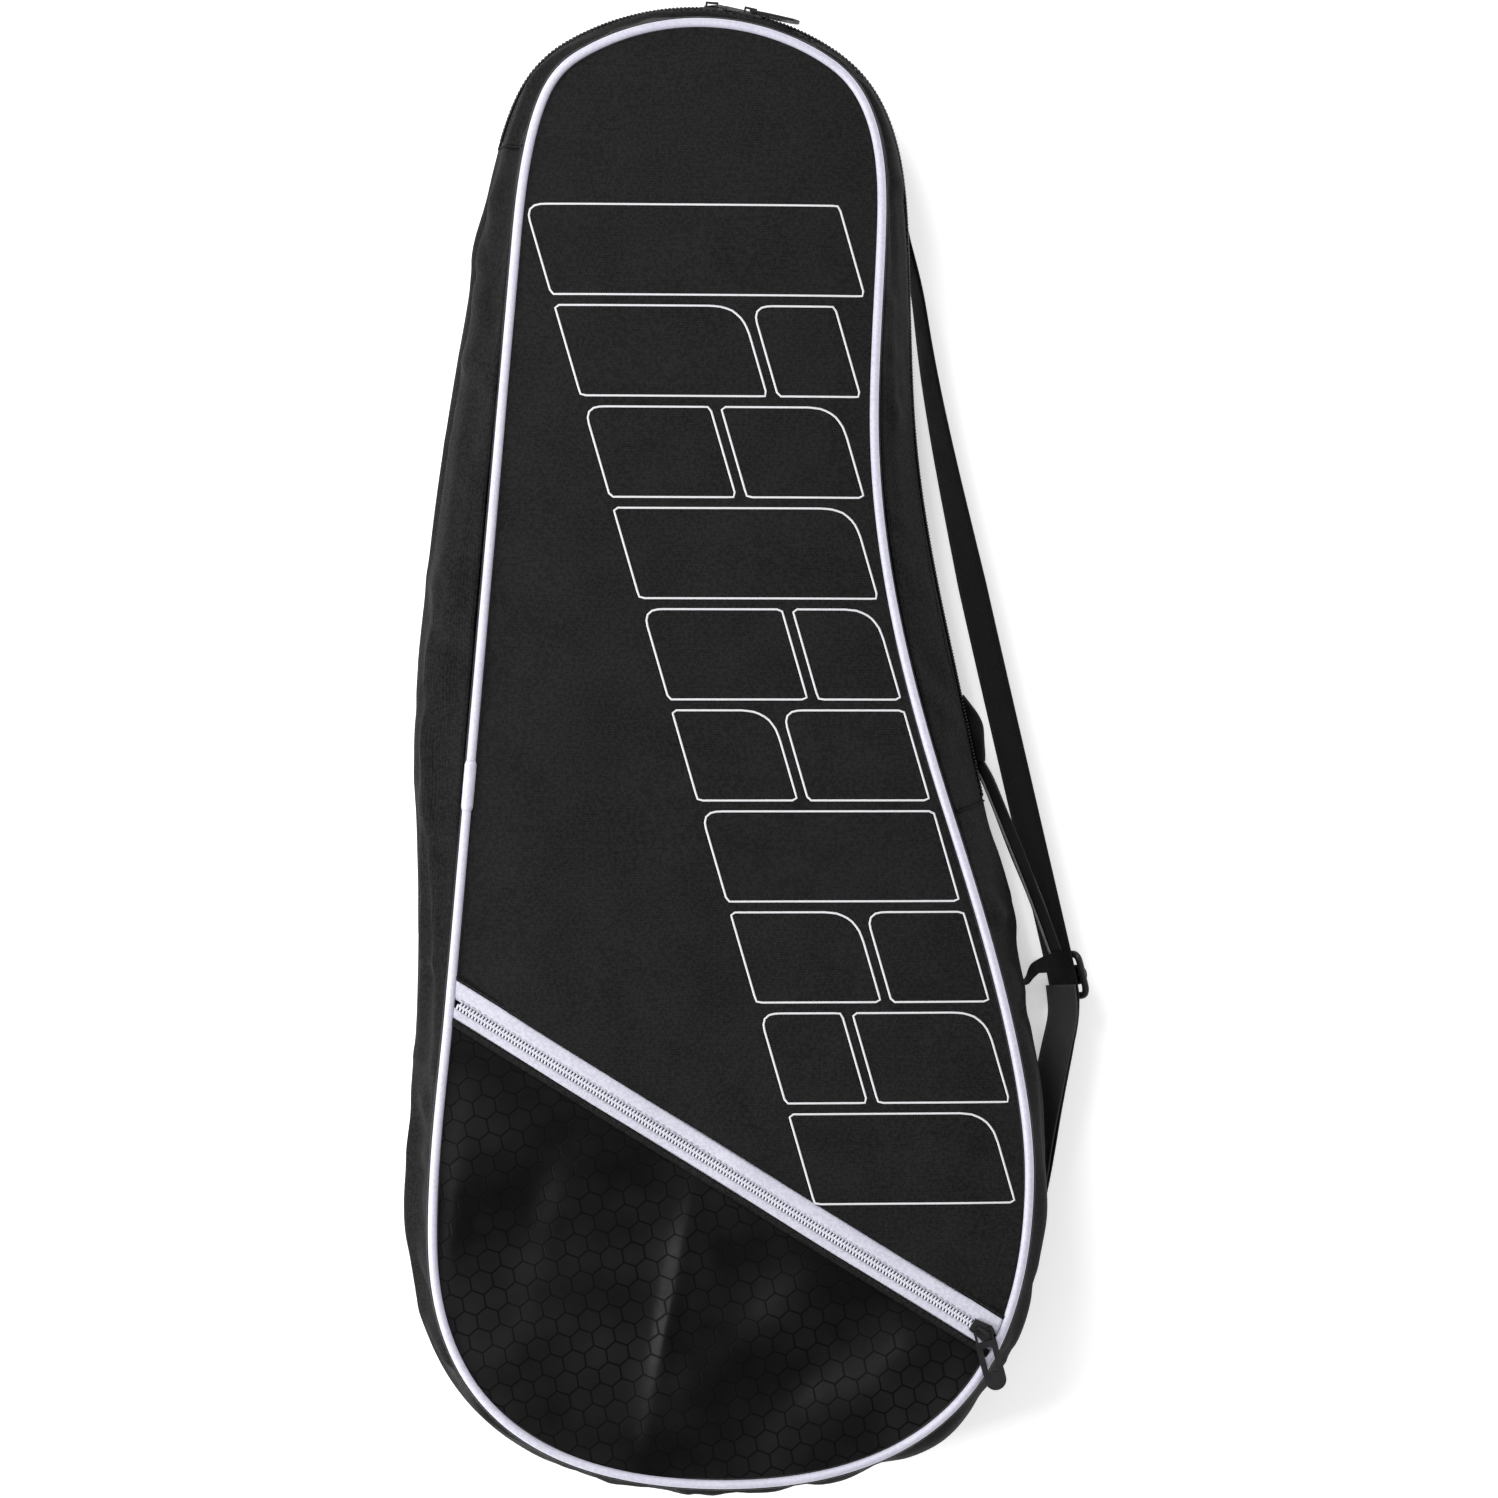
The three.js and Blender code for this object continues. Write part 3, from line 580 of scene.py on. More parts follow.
def pocket_material():
    nodes = Nodes("coated_hexagon_cloth")
    line = hexagon_line(nodes, HEX_PITCH, HEX_TURN, 0.62 * MM)
    weave = weave_height(nodes, 0.55 * MM, 0.0)
    # Lighter and darker patches in the cells' colour are painted sheen, standing in for the satin's
    # reflection; the same noise also varies the roughness.
    mottle = nodes.noise(17, 4)
    patches = nodes.ramp(mottle, 0.0, 1.0, 0.35, 0.7)
    cell_colour_painted_sheen = nodes.blend_colours(patches, (0.0025, 0.0024, 0.0027), (0.0110, 0.0106, 0.0114))
    colour = nodes.blend_colours(line, cell_colour_painted_sheen, (0.0003, 0.0003, 0.0004))
    rough = nodes.math("ADD", nodes.ramp(mottle, 0.30, 0.44), nodes.math("MULTIPLY", line, 0.25))
    soft = nodes.bump(nodes.noise(120, 3), 0.3 * MM, 0.45)
    woven = nodes.bump(weave, 0.05 * MM, 0.5, soft)
    normal = nodes.bump(nodes.math("SUBTRACT", 1.0, line), 0.12 * MM, 0.6, woven)
    nodes.shader.inputs["Specular IOR Level"].default_value = 0.075
    return nodes.finish(colour, rough, normal)


def moulded_material(name, dark, light, roughness, shine=0.5):
    """Moulded plastic or enamelled metal: fine grain, and a paler colour on sharp convex edges."""
    nodes = Nodes(name)
    geometry = nodes.add("ShaderNodeNewGeometry")
    sharp_edges = nodes.ramp(geometry.outputs["Pointiness"], 0.0, 1.0, 0.5, 0.62)
    patches = nodes.noise(220, 3)
    mix = nodes.math("ADD", nodes.math("MULTIPLY", sharp_edges, 0.6), nodes.math("MULTIPLY", patches, 0.4))
    colour = nodes.blend_colours(mix, dark, light)
    rough = nodes.ramp(patches, roughness - 0.08, roughness + 0.1, 0.3, 0.7)
    normal = nodes.bump(nodes.noise(900, 2), 0.06 * MM, 0.5)
    nodes.shader.inputs["Specular IOR Level"].default_value = shine
    return nodes.finish(colour, rough, normal)


def webbing_material(name, dark, light, shine):
    """Ribbed webbing: ribs along it, with a fine cross weave."""
    nodes = Nodes(name)
    place = nodes.cloth_place(1.5 * MM)
    split = nodes.add("ShaderNodeSeparateXYZ")
    nodes.link(place, split.inputs[0])
    along, across = split.outputs[0], split.outputs[1]
    ribs = nodes.math("ABSOLUTE", nodes.math("SINE", nodes.math("MULTIPLY", across, math.pi)))
    zigzag = nodes.math("ADD", nodes.math("MULTIPLY", along, 1.6), nodes.math("MULTIPLY", ribs, 0.6))
    picks = nodes.math("ABSOLUTE", nodes.math("SINE", nodes.math("MULTIPLY", zigzag, math.pi)))
    weave = nodes.math("MULTIPLY", ribs, nodes.math("ADD", nodes.math("MULTIPLY", picks, 0.6), 0.4))
    mottle = nodes.noise(60, 3)
    mix = nodes.math("ADD", nodes.math("MULTIPLY", weave, 0.7), nodes.math("MULTIPLY", mottle, 0.35))
    colour = nodes.blend_colours(mix, dark, light)
    rough = nodes.ramp(mottle, 0.55, 0.75)
    normal = nodes.bump(weave, 0.2 * MM, 0.9)
    nodes.shader.inputs["Specular IOR Level"].default_value = shine
    return nodes.finish(colour, rough, normal)


TWILL = {"pitch": 1.25 * MM, "roughness": 0.66, "slant": 0.28, "sheen": 0.0}
BLACK_CLOTH = cloth_material("twill_polyester", (0.0004, 0.0004, 0.0004), (0.0140, 0.0136, 0.0141),
                             shine=0.13, depth=0.16 * MM, **TWILL)
GUSSET_CLOTH = cloth_material("gusset_polyester", (0.0008, 0.0008, 0.0008), (0.0165, 0.0160, 0.0167),
                              shine=0.06, depth=0.2 * MM, **TWILL)
LINING = cloth_material("lining_cloth", (0.02, 0.02, 0.022), (0.05, 0.05, 0.055), 0.6 * MM, 0.6, slant=0.0)
BINDING = cloth_material("binding_tape", (0.006, 0.006, 0.007), (0.03, 0.03, 0.033), 0.7 * MM, 0.6)
WHITE_PIPING = cloth_material("piping_cloth", (0.44, 0.435, 0.53), (0.60, 0.59, 0.68), 0.6 * MM, 0.42,
                              slant=0.0, depth=0.05 * MM, coat=0.1, shine=0.5)
WHITE_TAPE = cloth_material("zip_tape", (0.42, 0.42, 0.50), (0.62, 0.615, 0.70), 0.75 * MM, 0.6,
                            depth=0.08 * MM, shine=0.4)
BLACK_TAPE = cloth_material("black_zip_tape", (0.005, 0.005, 0.006), (0.022, 0.022, 0.024), 0.75 * MM, 0.6)
GREY_COIL = moulded_material("pale_nylon", (0.44, 0.44, 0.51), (0.62, 0.62, 0.69), 0.42)
BLACK_COIL = moulded_material("black_nylon", (0.005, 0.005, 0.006), (0.03, 0.03, 0.032), 0.36)
THREAD = cloth_material("black_thread", (0.006, 0.006, 0.007), (0.03, 0.03, 0.033), 0.5 * MM, 0.5)
PALE_THREAD = cloth_material("pale_thread", (0.42, 0.42, 0.48), (0.6, 0.6, 0.66), 0.5 * MM, 0.5)
PRINT = moulded_material("screen_print", (0.52, 0.52, 0.55), (0.72, 0.72, 0.74), 0.5)
ENAMEL = moulded_material("black_enamel", (0.002, 0.002, 0.0023), (0.012, 0.012, 0.013), 0.30, shine=0.45)
MOULDED = moulded_material("black_moulding", (0.004, 0.004, 0.0045), (0.02, 0.02, 0.022), 0.42, shine=0.25)
WEBBING = webbing_material("ribbed_webbing", (0.002, 0.002, 0.0025), (0.016, 0.016, 0.018), 0.12)
# The webbing's satin reverse face: its higher shine is real, and its lighter colour is painted sheen.
WEBBING_REVERSE_PAINTED_SHEEN = webbing_material("ribbed_webbing_reverse_painted_sheen", (0.006, 0.006, 0.007), (0.045, 0.045, 0.048), 0.6)
# Pale colour painted on the black bound edges as a highlight.
EDGE_PAINTED_HIGHLIGHT = cloth_material("bound_edge_painted_highlight", (0.05, 0.05, 0.054), (0.13, 0.13, 0.135), 0.6 * MM, 0.4, shine=0.5)
HEX_CLOTH = pocket_material()


# ---- heights of the soft faces ----

CROWN = 2.6 * MM                # the front cloth's rise inside the piping
CROWN_REACH = 26 * MM
COVER_DROP = 0.8 * MM           # the front cloth's edge lies this far under the CAD panel's face
CASE_X = (-0.14, 0.12)          # where the front cloth's folds lie
CASE_Y = (-0.3, 0.34)
AROUND_X = (-0.15, 0.15)


def near_edge(distance, reach):
    """1 at an edge, falling softly to 0 past reach."""
    return np.exp(-(distance / reach) ** 2)


def cover_height(points):
    """Height of the front cloth over (x, y): crowned from the piping, with slight unevenness."""
    inside = edge_distance(points)
    x, y = points[:, 0], points[:, 1]
    crown = CROWN * (1 - near_edge(inside, CROWN_REACH))
    uneven = folds(x, y, SEED, 26, CASE_X, CASE_Y, 90 * MM, 34 * MM, 1.0 * MM, 80, 40)
    edge_pucker = folds(x, y, SEED + 1, 60, AROUND_X, (-0.3, 0.36), 20 * MM, 7 * MM, 0.35 * MM, 10, 60)
    return FRONT_Z - COVER_DROP + crown + uneven + edge_pucker * near_edge(inside, 30 * MM)


POCKET_LOW, POCKET_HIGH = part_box("pocket_panel")


def pocket_spot(u, v):
    """A point of the pocket by its share of the panel's width and height."""
    size = POCKET_HIGH - POCKET_LOW
    return POCKET_LOW.x + u * size.x, POCKET_LOW.y + v * size.y


# Soft folds of the pocket: where (shares of the panel), direction in degrees, length, width, height (mm).
POCKET_FOLDS = (
    ((0.43, 0.42), 79, 64, 5, 3.2),
    ((0.37, 0.40), 80, 64, 11, -3.2),
    ((0.145, 0.50), 78, 44, 15, -4.2),
    ((0.02, 0.52), 84, 64, 7, 3.0),
    ((0.25, 0.66), 58, 46, 13, 2.4),
    ((0.10, 0.24), 40, 34, 12, 2.6),
    ((0.30, 0.20), 30, 50, 16, -2.2),
    ((0.62, 0.36), 46, 66, 12, 3.2),
    ((0.71, 0.26), 44, 58, 12, -4.0),
    ((0.83, 0.24), 48, 50, 9, 3.2),
    ((0.55, 0.12), 12, 60, 12, 2.2),
    ((0.92, 0.20), 62, 30, 8, -2.6),
)


POCKET_SLACK = 2.4 * MM
POCKET_FLOOR = -2.6 * MM        # the deepest hollow stays above the layer behind the pocket


def pocket_height(points):
    """Height of the pocket's cloth: a slack pouch with a few long soft folds."""
    inside = edge_distance(points)
    below_zip = np.clip(-((points - POCKET_AT) @ POCKET_UP) - LOWER_TAPE, 0, None)
    room = (1 - near_edge(inside, 16 * MM)) * (1 - near_edge(below_zip, 14 * MM))
    x, y = points[:, 0], points[:, 1]
    height = POCKET_SLACK * room
    for spot, turn, length, width, rise in POCKET_FOLDS:
        cx, cy = pocket_spot(*spot)
        angle = math.radians(turn)
        along = (x - cx) * math.cos(angle) + (y - cy) * math.sin(angle)
        across = -(x - cx) * math.sin(angle) + (y - cy) * math.cos(angle)
        ridge = near_edge(along, length * MM) * near_edge(across, width * MM)
        height += rise * MM * ridge * (0.25 + 0.75 * room)
    small = folds(x, y, SEED + 2, 60, (-0.15, 0.14), (-0.36, -0.14), 26 * MM, 8 * MM, 0.5 * MM, 60, 60)
    return FRONT_Z - COVER_DROP + np.maximum(height + small * room, POCKET_FLOOR)


def rows_grid(inset, row_count, column_count, level=None):
    """Points (x, y) filling the case's outline, row by row from the head end."""
    _, _, bottom, top = sides_at(np.array([0.0]), inset, level)
    share = (1 - np.cos(np.linspace(0, math.pi, row_count))) / 2
    even = np.linspace(0, 1, row_count)
    y = bottom + (top - bottom) * (0.35 * share + 0.65 * even)
    y[0] += 0.02 * MM
    y[-1] -= 0.02 * MM
    left, right, _, _ = sides_at(y, inset, level)
    across = np.linspace(0, 1, column_count)
    x = left[:, None] + (right - left)[:, None] * across[None]
    return np.stack([x, np.broadcast_to(y[:, None], x.shape)], -1)


def flat_skin(name, inset, height, thickness, materials, rows=300, columns=110, level=None, outward=UP):
    """A crowned layer over the whole outline, with its cloth coordinates lying flat."""
    plan = rows_grid(inset, rows, columns, level)
    z = height(plan.reshape(-1, 2)).reshape(plan.shape[:2])
    grid = np.concatenate([plan, z[..., None]], -1)
    return skin(name, grid, thickness, materials, outward, plan.reshape(-1, 2))


# ---- front: cloth, pads, piping, print ----

COVER_INSET = 1.2 * MM
CUT_GAP = 0.2 * MM
PAD_INSET = 5 * MM
PAD_DEPTH = 4.2 * MM            # the padding's top lies this far under the front cloth's edge


def add_front():
    cover = flat_skin("front_cover", COVER_INSET, cover_height, CLOTH_THICK, [BLACK_CLOTH, LINING], 330, 120)
    cut(cover, POCKET_AT + POCKET_UP * (UPPER_TAPE + CUT_GAP), -POCKET_UP)
    settle(cover, "black_cloth", "front_panel", "flap_panel", body="flap")

    pad_top = FRONT_Z - PAD_DEPTH
    pad_thick = pad_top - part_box("front_lining")[0].z
    for word, body, cut_side in (("front", "root", FOLD_OUT), ("flap", "flap", -FOLD_OUT)):
        pad = flat_skin(word + "_pad", PAD_INSET, lambda points: np.full(len(points), pad_top), pad_thick,
                        [LINING, LINING], 120, 40)
        cut(pad, FOLD_AT, cut_side)
        settle(pad, "lining", word + "_foam", word + "_lining", body=body)


def piping_path(start, end, count, out=0.0, z=PIPING_Z):
    s = np.linspace(start, end, count)
    path = wall_point(s, out, z)
    flat, normal = edge_at(s)
    path[:, :2] = flat + normal * out
    waver = 0.25 * MM * np.sin(s / (47 * MM)) + 0.2 * MM * np.sin(s / (19 * MM) + 1)
    path[:, 2] += waver
    return path


def add_piping():
    path = piping_path(0, EDGE_LENGTH, 1100)[:-1]
    piping = tube("front_piping_cord", path, PIPING_RADIUS, [WHITE_PIPING], sides=16, loop=True)
    settle(piping, "white_piping", "front_piping", "flap_piping", body="flap")
    for word, side, drop in (("outer", 1, 1.2), ("inner", -1, 0.6)):
        path = piping_path(0, EDGE_LENGTH, 900, side * PIPING_RADIUS, PIPING_Z - drop * MM)[:-1]
        seam = tube("piping_seam_" + word, path, 0.9 * MM, [THREAD], sides=8, loop=True)
        settle(seam, "black_cloth", body="flap")

    low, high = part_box("piping_join")
    count = 40
    path = piping_path(edge_near(low.x, high.y), edge_near(low.x, low.y), count)
    from_end = np.minimum(np.arange(count), np.arange(count)[::-1])
    sleeve = (0.15 + 0.55 * np.clip(from_end / 3, 0, 1)) * MM
    join = tube("piping_overlap", path, PIPING_RADIUS + sleeve, [WHITE_PIPING], sides=16)
    settle(join, "white_piping", "piping_join")


def rounded_corners(corners, radii, steps=6):
    """A closed outline with each corner rounded by its own radius."""
    corners = np.array(corners, float)
    points = []
    for i, corner in enumerate(corners):
        before = corners[i - 1] - corner
        after = corners[(i + 1) % len(corners)] - corner
        reach = min(radii[i], 0.45 * np.linalg.norm(before), 0.45 * np.linalg.norm(after))
        a = corner + before / np.linalg.norm(before) * reach
        b = corner + after / np.linalg.norm(after) * reach
        for t in np.linspace(0, 1, steps):
            points.append((1 - t) ** 2 * a + 2 * t * (1 - t) * corner + t ** 2 * b)
    return np.array(points)


def ribbon_on_cover(outline, width, height, lift):
    """A thin printed line along a closed outline, following the cloth under it."""
    length = np.linalg.norm(outline - np.roll(outline, -1, axis=0), axis=1).sum()
    line = resample_loop(outline, max(24, int(length / (3 * MM))))
    side = turned_right(path_directions(line, loop=True))
    plan = np.stack([line + side * width / 2, line, line - side * width / 2], 1)
    z = height(plan.reshape(-1, 2)).reshape(plan.shape[:2]) + lift
    z[:, 1] += 0.04 * MM
    return np.concatenate([plan, z[..., None]], -1)


PRINT_ROWS = 10
PRINT_TOP = 276 * MM
PRINT_STEP = 51 * MM
PRINT_GAP = 5.5 * MM
PRINT_LEAN = 0.29               # the pattern moves this far to the right for each length down
PRINT_LEFT = -106 * MM
SHARP = 1.5 * MM                # the radius of a sharp corner


def print_outlines():
    """A made-up pattern: rows of slanted blocks in outline, stepping down the case."""
    outlines = []
    for row in range(PRINT_ROWS):
        top = PRINT_TOP - row * PRINT_STEP
        bottom = top - PRINT_STEP + PRINT_GAP
        left_top = PRINT_LEFT + PRINT_LEAN * (PRINT_TOP - top)
        width = (150 + 22 * math.sin(row * 2.1 + 1)) * MM
        _, right_edge, _, _ = sides_at(np.array([top, bottom]), 7 * MM)
        right_top = min(left_top + width, right_edge[0], right_edge[1] - PRINT_LEAN * (top - bottom))
        share = 0.28 + 0.44 * ((row * 0.618 + 0.3) % 1)
        middle = left_top + share * (right_top - left_top)
        slant = PRINT_LEAN * (top - bottom)
        spans = [(left_top, middle - PRINT_GAP / 2), (middle + PRINT_GAP / 2, right_top)]
        if row % 3 == 0:
            spans = [(left_top, right_top)]
        for k, (a, b) in enumerate(spans):
            big = 15 * MM if (row + k) % 2 else SHARP
            small = SHARP if (row + k) % 2 else 9 * MM
            corners = [(a, top), (b, top), (b + slant, bottom), (a + slant, bottom)]
            outlines.append(rounded_corners(corners, (small, big, SHARP, SHARP)))
    return outlines


def add_print():
    points, faces, flat = [], [], []
    count = 0
    for outline in print_outlines():
        grid = ribbon_on_cover(outline, PRINT_WIDTH, cover_height, 0.25 * MM)
        rows, columns = grid.shape[:2]
        points.append(grid.reshape(-1, 3))
        faces.append(grid_quads(rows, columns, loop_rows=True) + count)
        flat.append(grid[..., :2].reshape(-1, 2))
        count += rows * columns
    marks = make_piece("front_print", np.concatenate(points), np.concatenate(faces), [PRINT],
                       uv=np.concatenate(flat))
    solid = marks.modifiers.new("thickness", "SOLIDIFY")
    solid.thickness = 0.12 * MM
    solid.offset = 0
    settle(marks, "white_tape", body="flap")


# ---- pocket ----

def pocket_span(offset, inset):
    """Where the line at this distance above the pocket zip enters and leaves the outline."""
    along = np.linspace(-0.36, 0.08, 1200)
    line = POCKET_AT + POCKET_UP * offset + along[:, None] * POCKET_ALONG
    left, right, _, _ = sides_at(line[:, 1], inset)
    inside = along[(line[:, 0] > left) & (line[:, 0] < right)]
    return inside.min(), inside.max()


def pocket_strip(name, low, high, rise_mm, thick_mm, material, arch_mm):
    """A strip beside the pocket zip, between two distances above it, slightly arched across."""
    across = 5
    rows = []
    for k, offset in enumerate(np.linspace(low, high, across)):
        t = np.linspace(*pocket_span(offset, 2 * MM), 200)
        plan = POCKET_AT + POCKET_UP * offset + t[:, None] * POCKET_ALONG
        arch = arch_mm * math.sin(math.pi * k / (across - 1))
        z = FRONT_Z + (rise_mm + arch + 0.2 * np.sin(t / (23 * MM) + k * 0.4)) * MM
        rows.append(np.concatenate([plan, z[:, None]], 1))
    return skin(name, np.stack(rows, 1), thick_mm * MM, [material], UP)


def row_of_stitches(name, path, up, material):
    """Thread stitches at an even pitch along a path; up is the way they face, at each point or for all."""
    steps = path_steps(path)
    at = np.arange(STITCH_PITCH / 2, steps[-1], STITCH_PITCH)
    centres = points_at(at, steps, path)
    along = unit(points_at(at + 0.5 * MM, steps, path) - points_at(at - 0.5 * MM, steps, path))
    lift = unit(points_at(at, steps, np.broadcast_to(up, path.shape)))
    return beads(name, centres, along, np.cross(along, lift), lift, STITCH_SIZE, material)


def pocket_stitch_path(offset, z):
    t = np.linspace(*pocket_span(offset, 4 * MM), 200)
    plan = POCKET_AT + POCKET_UP * offset + t[:, None] * POCKET_ALONG
    return np.concatenate([plan, np.full((len(plan), 1), z)], 1)


def add_pocket():
    cover = flat_skin("pocket_cover", COVER_INSET, pocket_height, 0.8 * MM, [HEX_CLOTH, LINING], 420, 170)
    cut(cover, POCKET_AT - POCKET_UP * (LOWER_TAPE + CUT_GAP), POCKET_UP)
    settle(cover, "coated_cloth", "pocket_panel")

    back_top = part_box("pocket_backing")[1].z
    backing = flat_skin("pocket_lining", 4 * MM, lambda points: np.full(len(points), back_top), 0.6 * MM,
                        [LINING], 80, 30)
    cut(backing, POCKET_AT + POCKET_UP * (UPPER_TAPE + 3 * MM), POCKET_UP)
    settle(backing, "lining", "pocket_backing")

    tape = (0.1, 0.6, WHITE_TAPE)
    # Each strip: its edges' distances above the zip, then its rise over the front, thickness, cloth and arch.
    upper = pocket_strip("pocket_upper_tape", TAPE_GAP, UPPER_TAPE + 1.2 * MM, *tape, 0.4)
    lower = pocket_strip("pocket_lower_tape", -LOWER_TAPE, -TAPE_GAP, *tape, 0.3)
    hem_from = -LOWER_TAPE - 3.6 * MM
    hem = pocket_strip("pocket_hem", hem_from, hem_from + 4 * MM, 0.3, 1.0, BLACK_CLOTH, 0.7)
    lip_from = UPPER_TAPE - 0.2 * MM
    lip = pocket_strip("front_cover_hem", lip_from, lip_from + 2.4 * MM, 0.25, 0.9, BLACK_CLOTH, 0.45)
    settle(upper, "white_tape", "pocket_tape_upper")
    settle(lower, "white_tape", "pocket_tape_lower")
    settle(hem, "black_cloth")
    settle(lip, "black_cloth")

    start, end = pocket_span(0, 3 * MM)
    for word, side in (("upper", 1), ("lower", -1)):
        name = "pocket_teeth_" + word
        t = np.arange(start + TOOTH_PITCH, end - TOOTH_PITCH, TOOTH_PITCH) + TOOTH_PITCH / 4 * side
        plan = POCKET_AT + t[:, None] * POCKET_ALONG + POCKET_UP * side * 0.75 * MM
        centres = np.concatenate([plan, np.full((len(t), 1), FRONT_Z + 0.15 * MM)], 1)
        slanted = POCKET_UP + POCKET_ALONG * TOOTH_SLANT * side
        directions = (np.append(slanted, 0), np.append(POCKET_ALONG, 0), UP)
        spread = [np.broadcast_to(direction, centres.shape) for direction in directions]
        teeth = beads(name, centres, *spread, (1.5 * MM, 0.62 * MM, 0.8 * MM), GREY_COIL)
        settle(teeth, "grey_coil", "pocket_coil_" + word)
        path = pocket_stitch_path(side * 2.7 * MM, FRONT_Z + 0.35 * MM)
        settle(row_of_stitches(name + "_thread", path, UP, PALE_THREAD), "white_tape")
    for word, offset in (("pocket", -LOWER_TAPE - 1.2 * MM), ("front", UPPER_TAPE + 1.2 * MM)):
        path = pocket_stitch_path(offset, FRONT_Z + 0.95 * MM)
        settle(row_of_stitches(word + "_hem_stitches", path, UP, THREAD), "black_cloth")


# ---- gussets ----

_side = (EDGE - FOLD_AT) @ FOLD_OUT
_crossings = np.nonzero(np.sign(_side) != np.sign(np.roll(_side, -1)))[0] * EDGE_STEP
ZIP_START, ZIP_END = float(_crossings.min()), float(_crossings.max())     # from the waist, over the top


# Kinds of crease: how many, between which heights, length, width and depth in mm, direction and its
# spread in degrees.
GUSSET_CREASES = (
    (90, 8, 66, 120, 4.2, 2.2, 0, 5),       # long ones along the wall
    (190, 48, 72, 13, 4.5, 1.9, 60, 45),    # puckers by the front seam
    (46, 14, 64, 32, 9, 2.6, 35, 40),       # slanted dents
)


def gusset_relief(s, z):
    """Creases of the gusset, shallower at its seams and beside the main zip."""
    u, v = np.broadcast_arrays(s, z)
    u, v = u.astype(float) % EDGE_LENGTH, v.astype(float)
    creases = np.zeros_like(v)
    for at in (u - EDGE_LENGTH, u, u + EDGE_LENGTH):
        for k, (count, low, high, length, width, height, angle, spread) in enumerate(GUSSET_CREASES):
            creases += folds(at, v, SEED + 3 + k, count, (0, EDGE_LENGTH), (low * MM, high * MM), length * MM,
                             width * MM, height * MM, angle, spread)
    seam = np.clip(np.minimum(np.abs(v - 4 * MM), np.abs(72 * MM - v)) / (7 * MM), 0, 1)
    into_zip = np.clip(1 + np.minimum(u - ZIP_START, ZIP_END - u) / (25 * MM), 0, 1)
    flat_by_zip = 1 - 0.9 * into_zip * np.exp(-((v - ZIP_Z) / (11 * MM)) ** 2)
    return creases * (0.15 + 0.85 * seam) * flat_by_zip


LIP = 1.1 * MM                  # the front strip turns in beside the zip, and the rear one stands out


def zip_lip(z):
    """Outward shift of the two strips beside the zip, which shows the zip from the front."""
    return np.where(z > ZIP_Z, -LIP, 0.7 * LIP) * np.exp(-((z - ZIP_Z) / (9 * MM)) ** 2)


def gusset(name, start, end, low, high, levels, lip=False):
    """A stretch of the side wall between two distances along the edge and two heights."""
    count = max(8, int((end - start) / (3 * MM)))
    s, z = np.meshgrid(np.linspace(start, end, count), np.linspace(low, high, levels), indexing="ij")
    flat = wall_point(s, zip_lip(z) if lip else 0.0, z)
    facing = outward_at(s)
    grid = flat + grid_normals(flat, facing) * gusset_relief(s, z)[..., None]
    return skin(name, grid, WALL_THICK, [GUSSET_CLOTH, LINING], facing)


def add_gussets():
    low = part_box("left_gusset")[0].z - 0.6 * MM
    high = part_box("left_gusset")[1].z + 1.6 * MM
    overlap = 0.6 * MM
    spine = gusset("spine_gusset", ZIP_END - overlap, ZIP_START + EDGE_LENGTH + overlap, low, high, 34)
    settle(spine, "black_cloth", "left_gusset", "head_gusset", "right_gusset",
           body="flap", opens_from_zip=True)

    rear_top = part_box("zip_gusset_rear")[1].z
    rear = gusset("zip_gusset_rear_cloth", ZIP_START, ZIP_END, low, rear_top, 18, lip=True)
    settle(rear, "black_cloth", "zip_gusset_rear")

    front_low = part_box("zip_gusset_front")[0].z
    front = gusset("zip_gusset_front_cloth", ZIP_START, ZIP_END, front_low, high, 20, lip=True)
    settle(front, "black_cloth", "zip_gusset_front", body="flap", opens_from_zip=True)

    s = np.linspace(ZIP_START + 4 * MM, ZIP_END - 4 * MM, 500)
    hem = 2.2 * MM
    for word, z, body in (("front", front_low + hem, "flap"), ("rear", rear_top - hem, "root")):
        path = wall_point(s, gusset_relief(s, z) + zip_lip(np.array(z)) + 0.15 * MM, z)
        thread = row_of_stitches("zip_stitches_" + word, path, outward_at(s), THREAD)
        settle(thread, "black_cloth", body=body, opens_from_zip=True)

    z = np.linspace(low + 1 * MM, high - 1 * MM, 60)
    for k, at in enumerate((ZIP_START, ZIP_END)):
        line = wall_point(at, gusset_relief(at, z) + 0.1 * MM, z)
        line += 1e-6 * np.arange(len(z))[:, None]          # a slight lean gives the tube a side direction
        ridge = tube(f"gusset_end_seam_{k}", line, 0.5 * MM, [GUSSET_CLOTH], sides=8)
        settle(ridge, "black_cloth", body="flap", opens_from_zip=True)


TOOTH_OUT = -0.2 * MM           # middle of the main zip's teeth, from the gusset's face


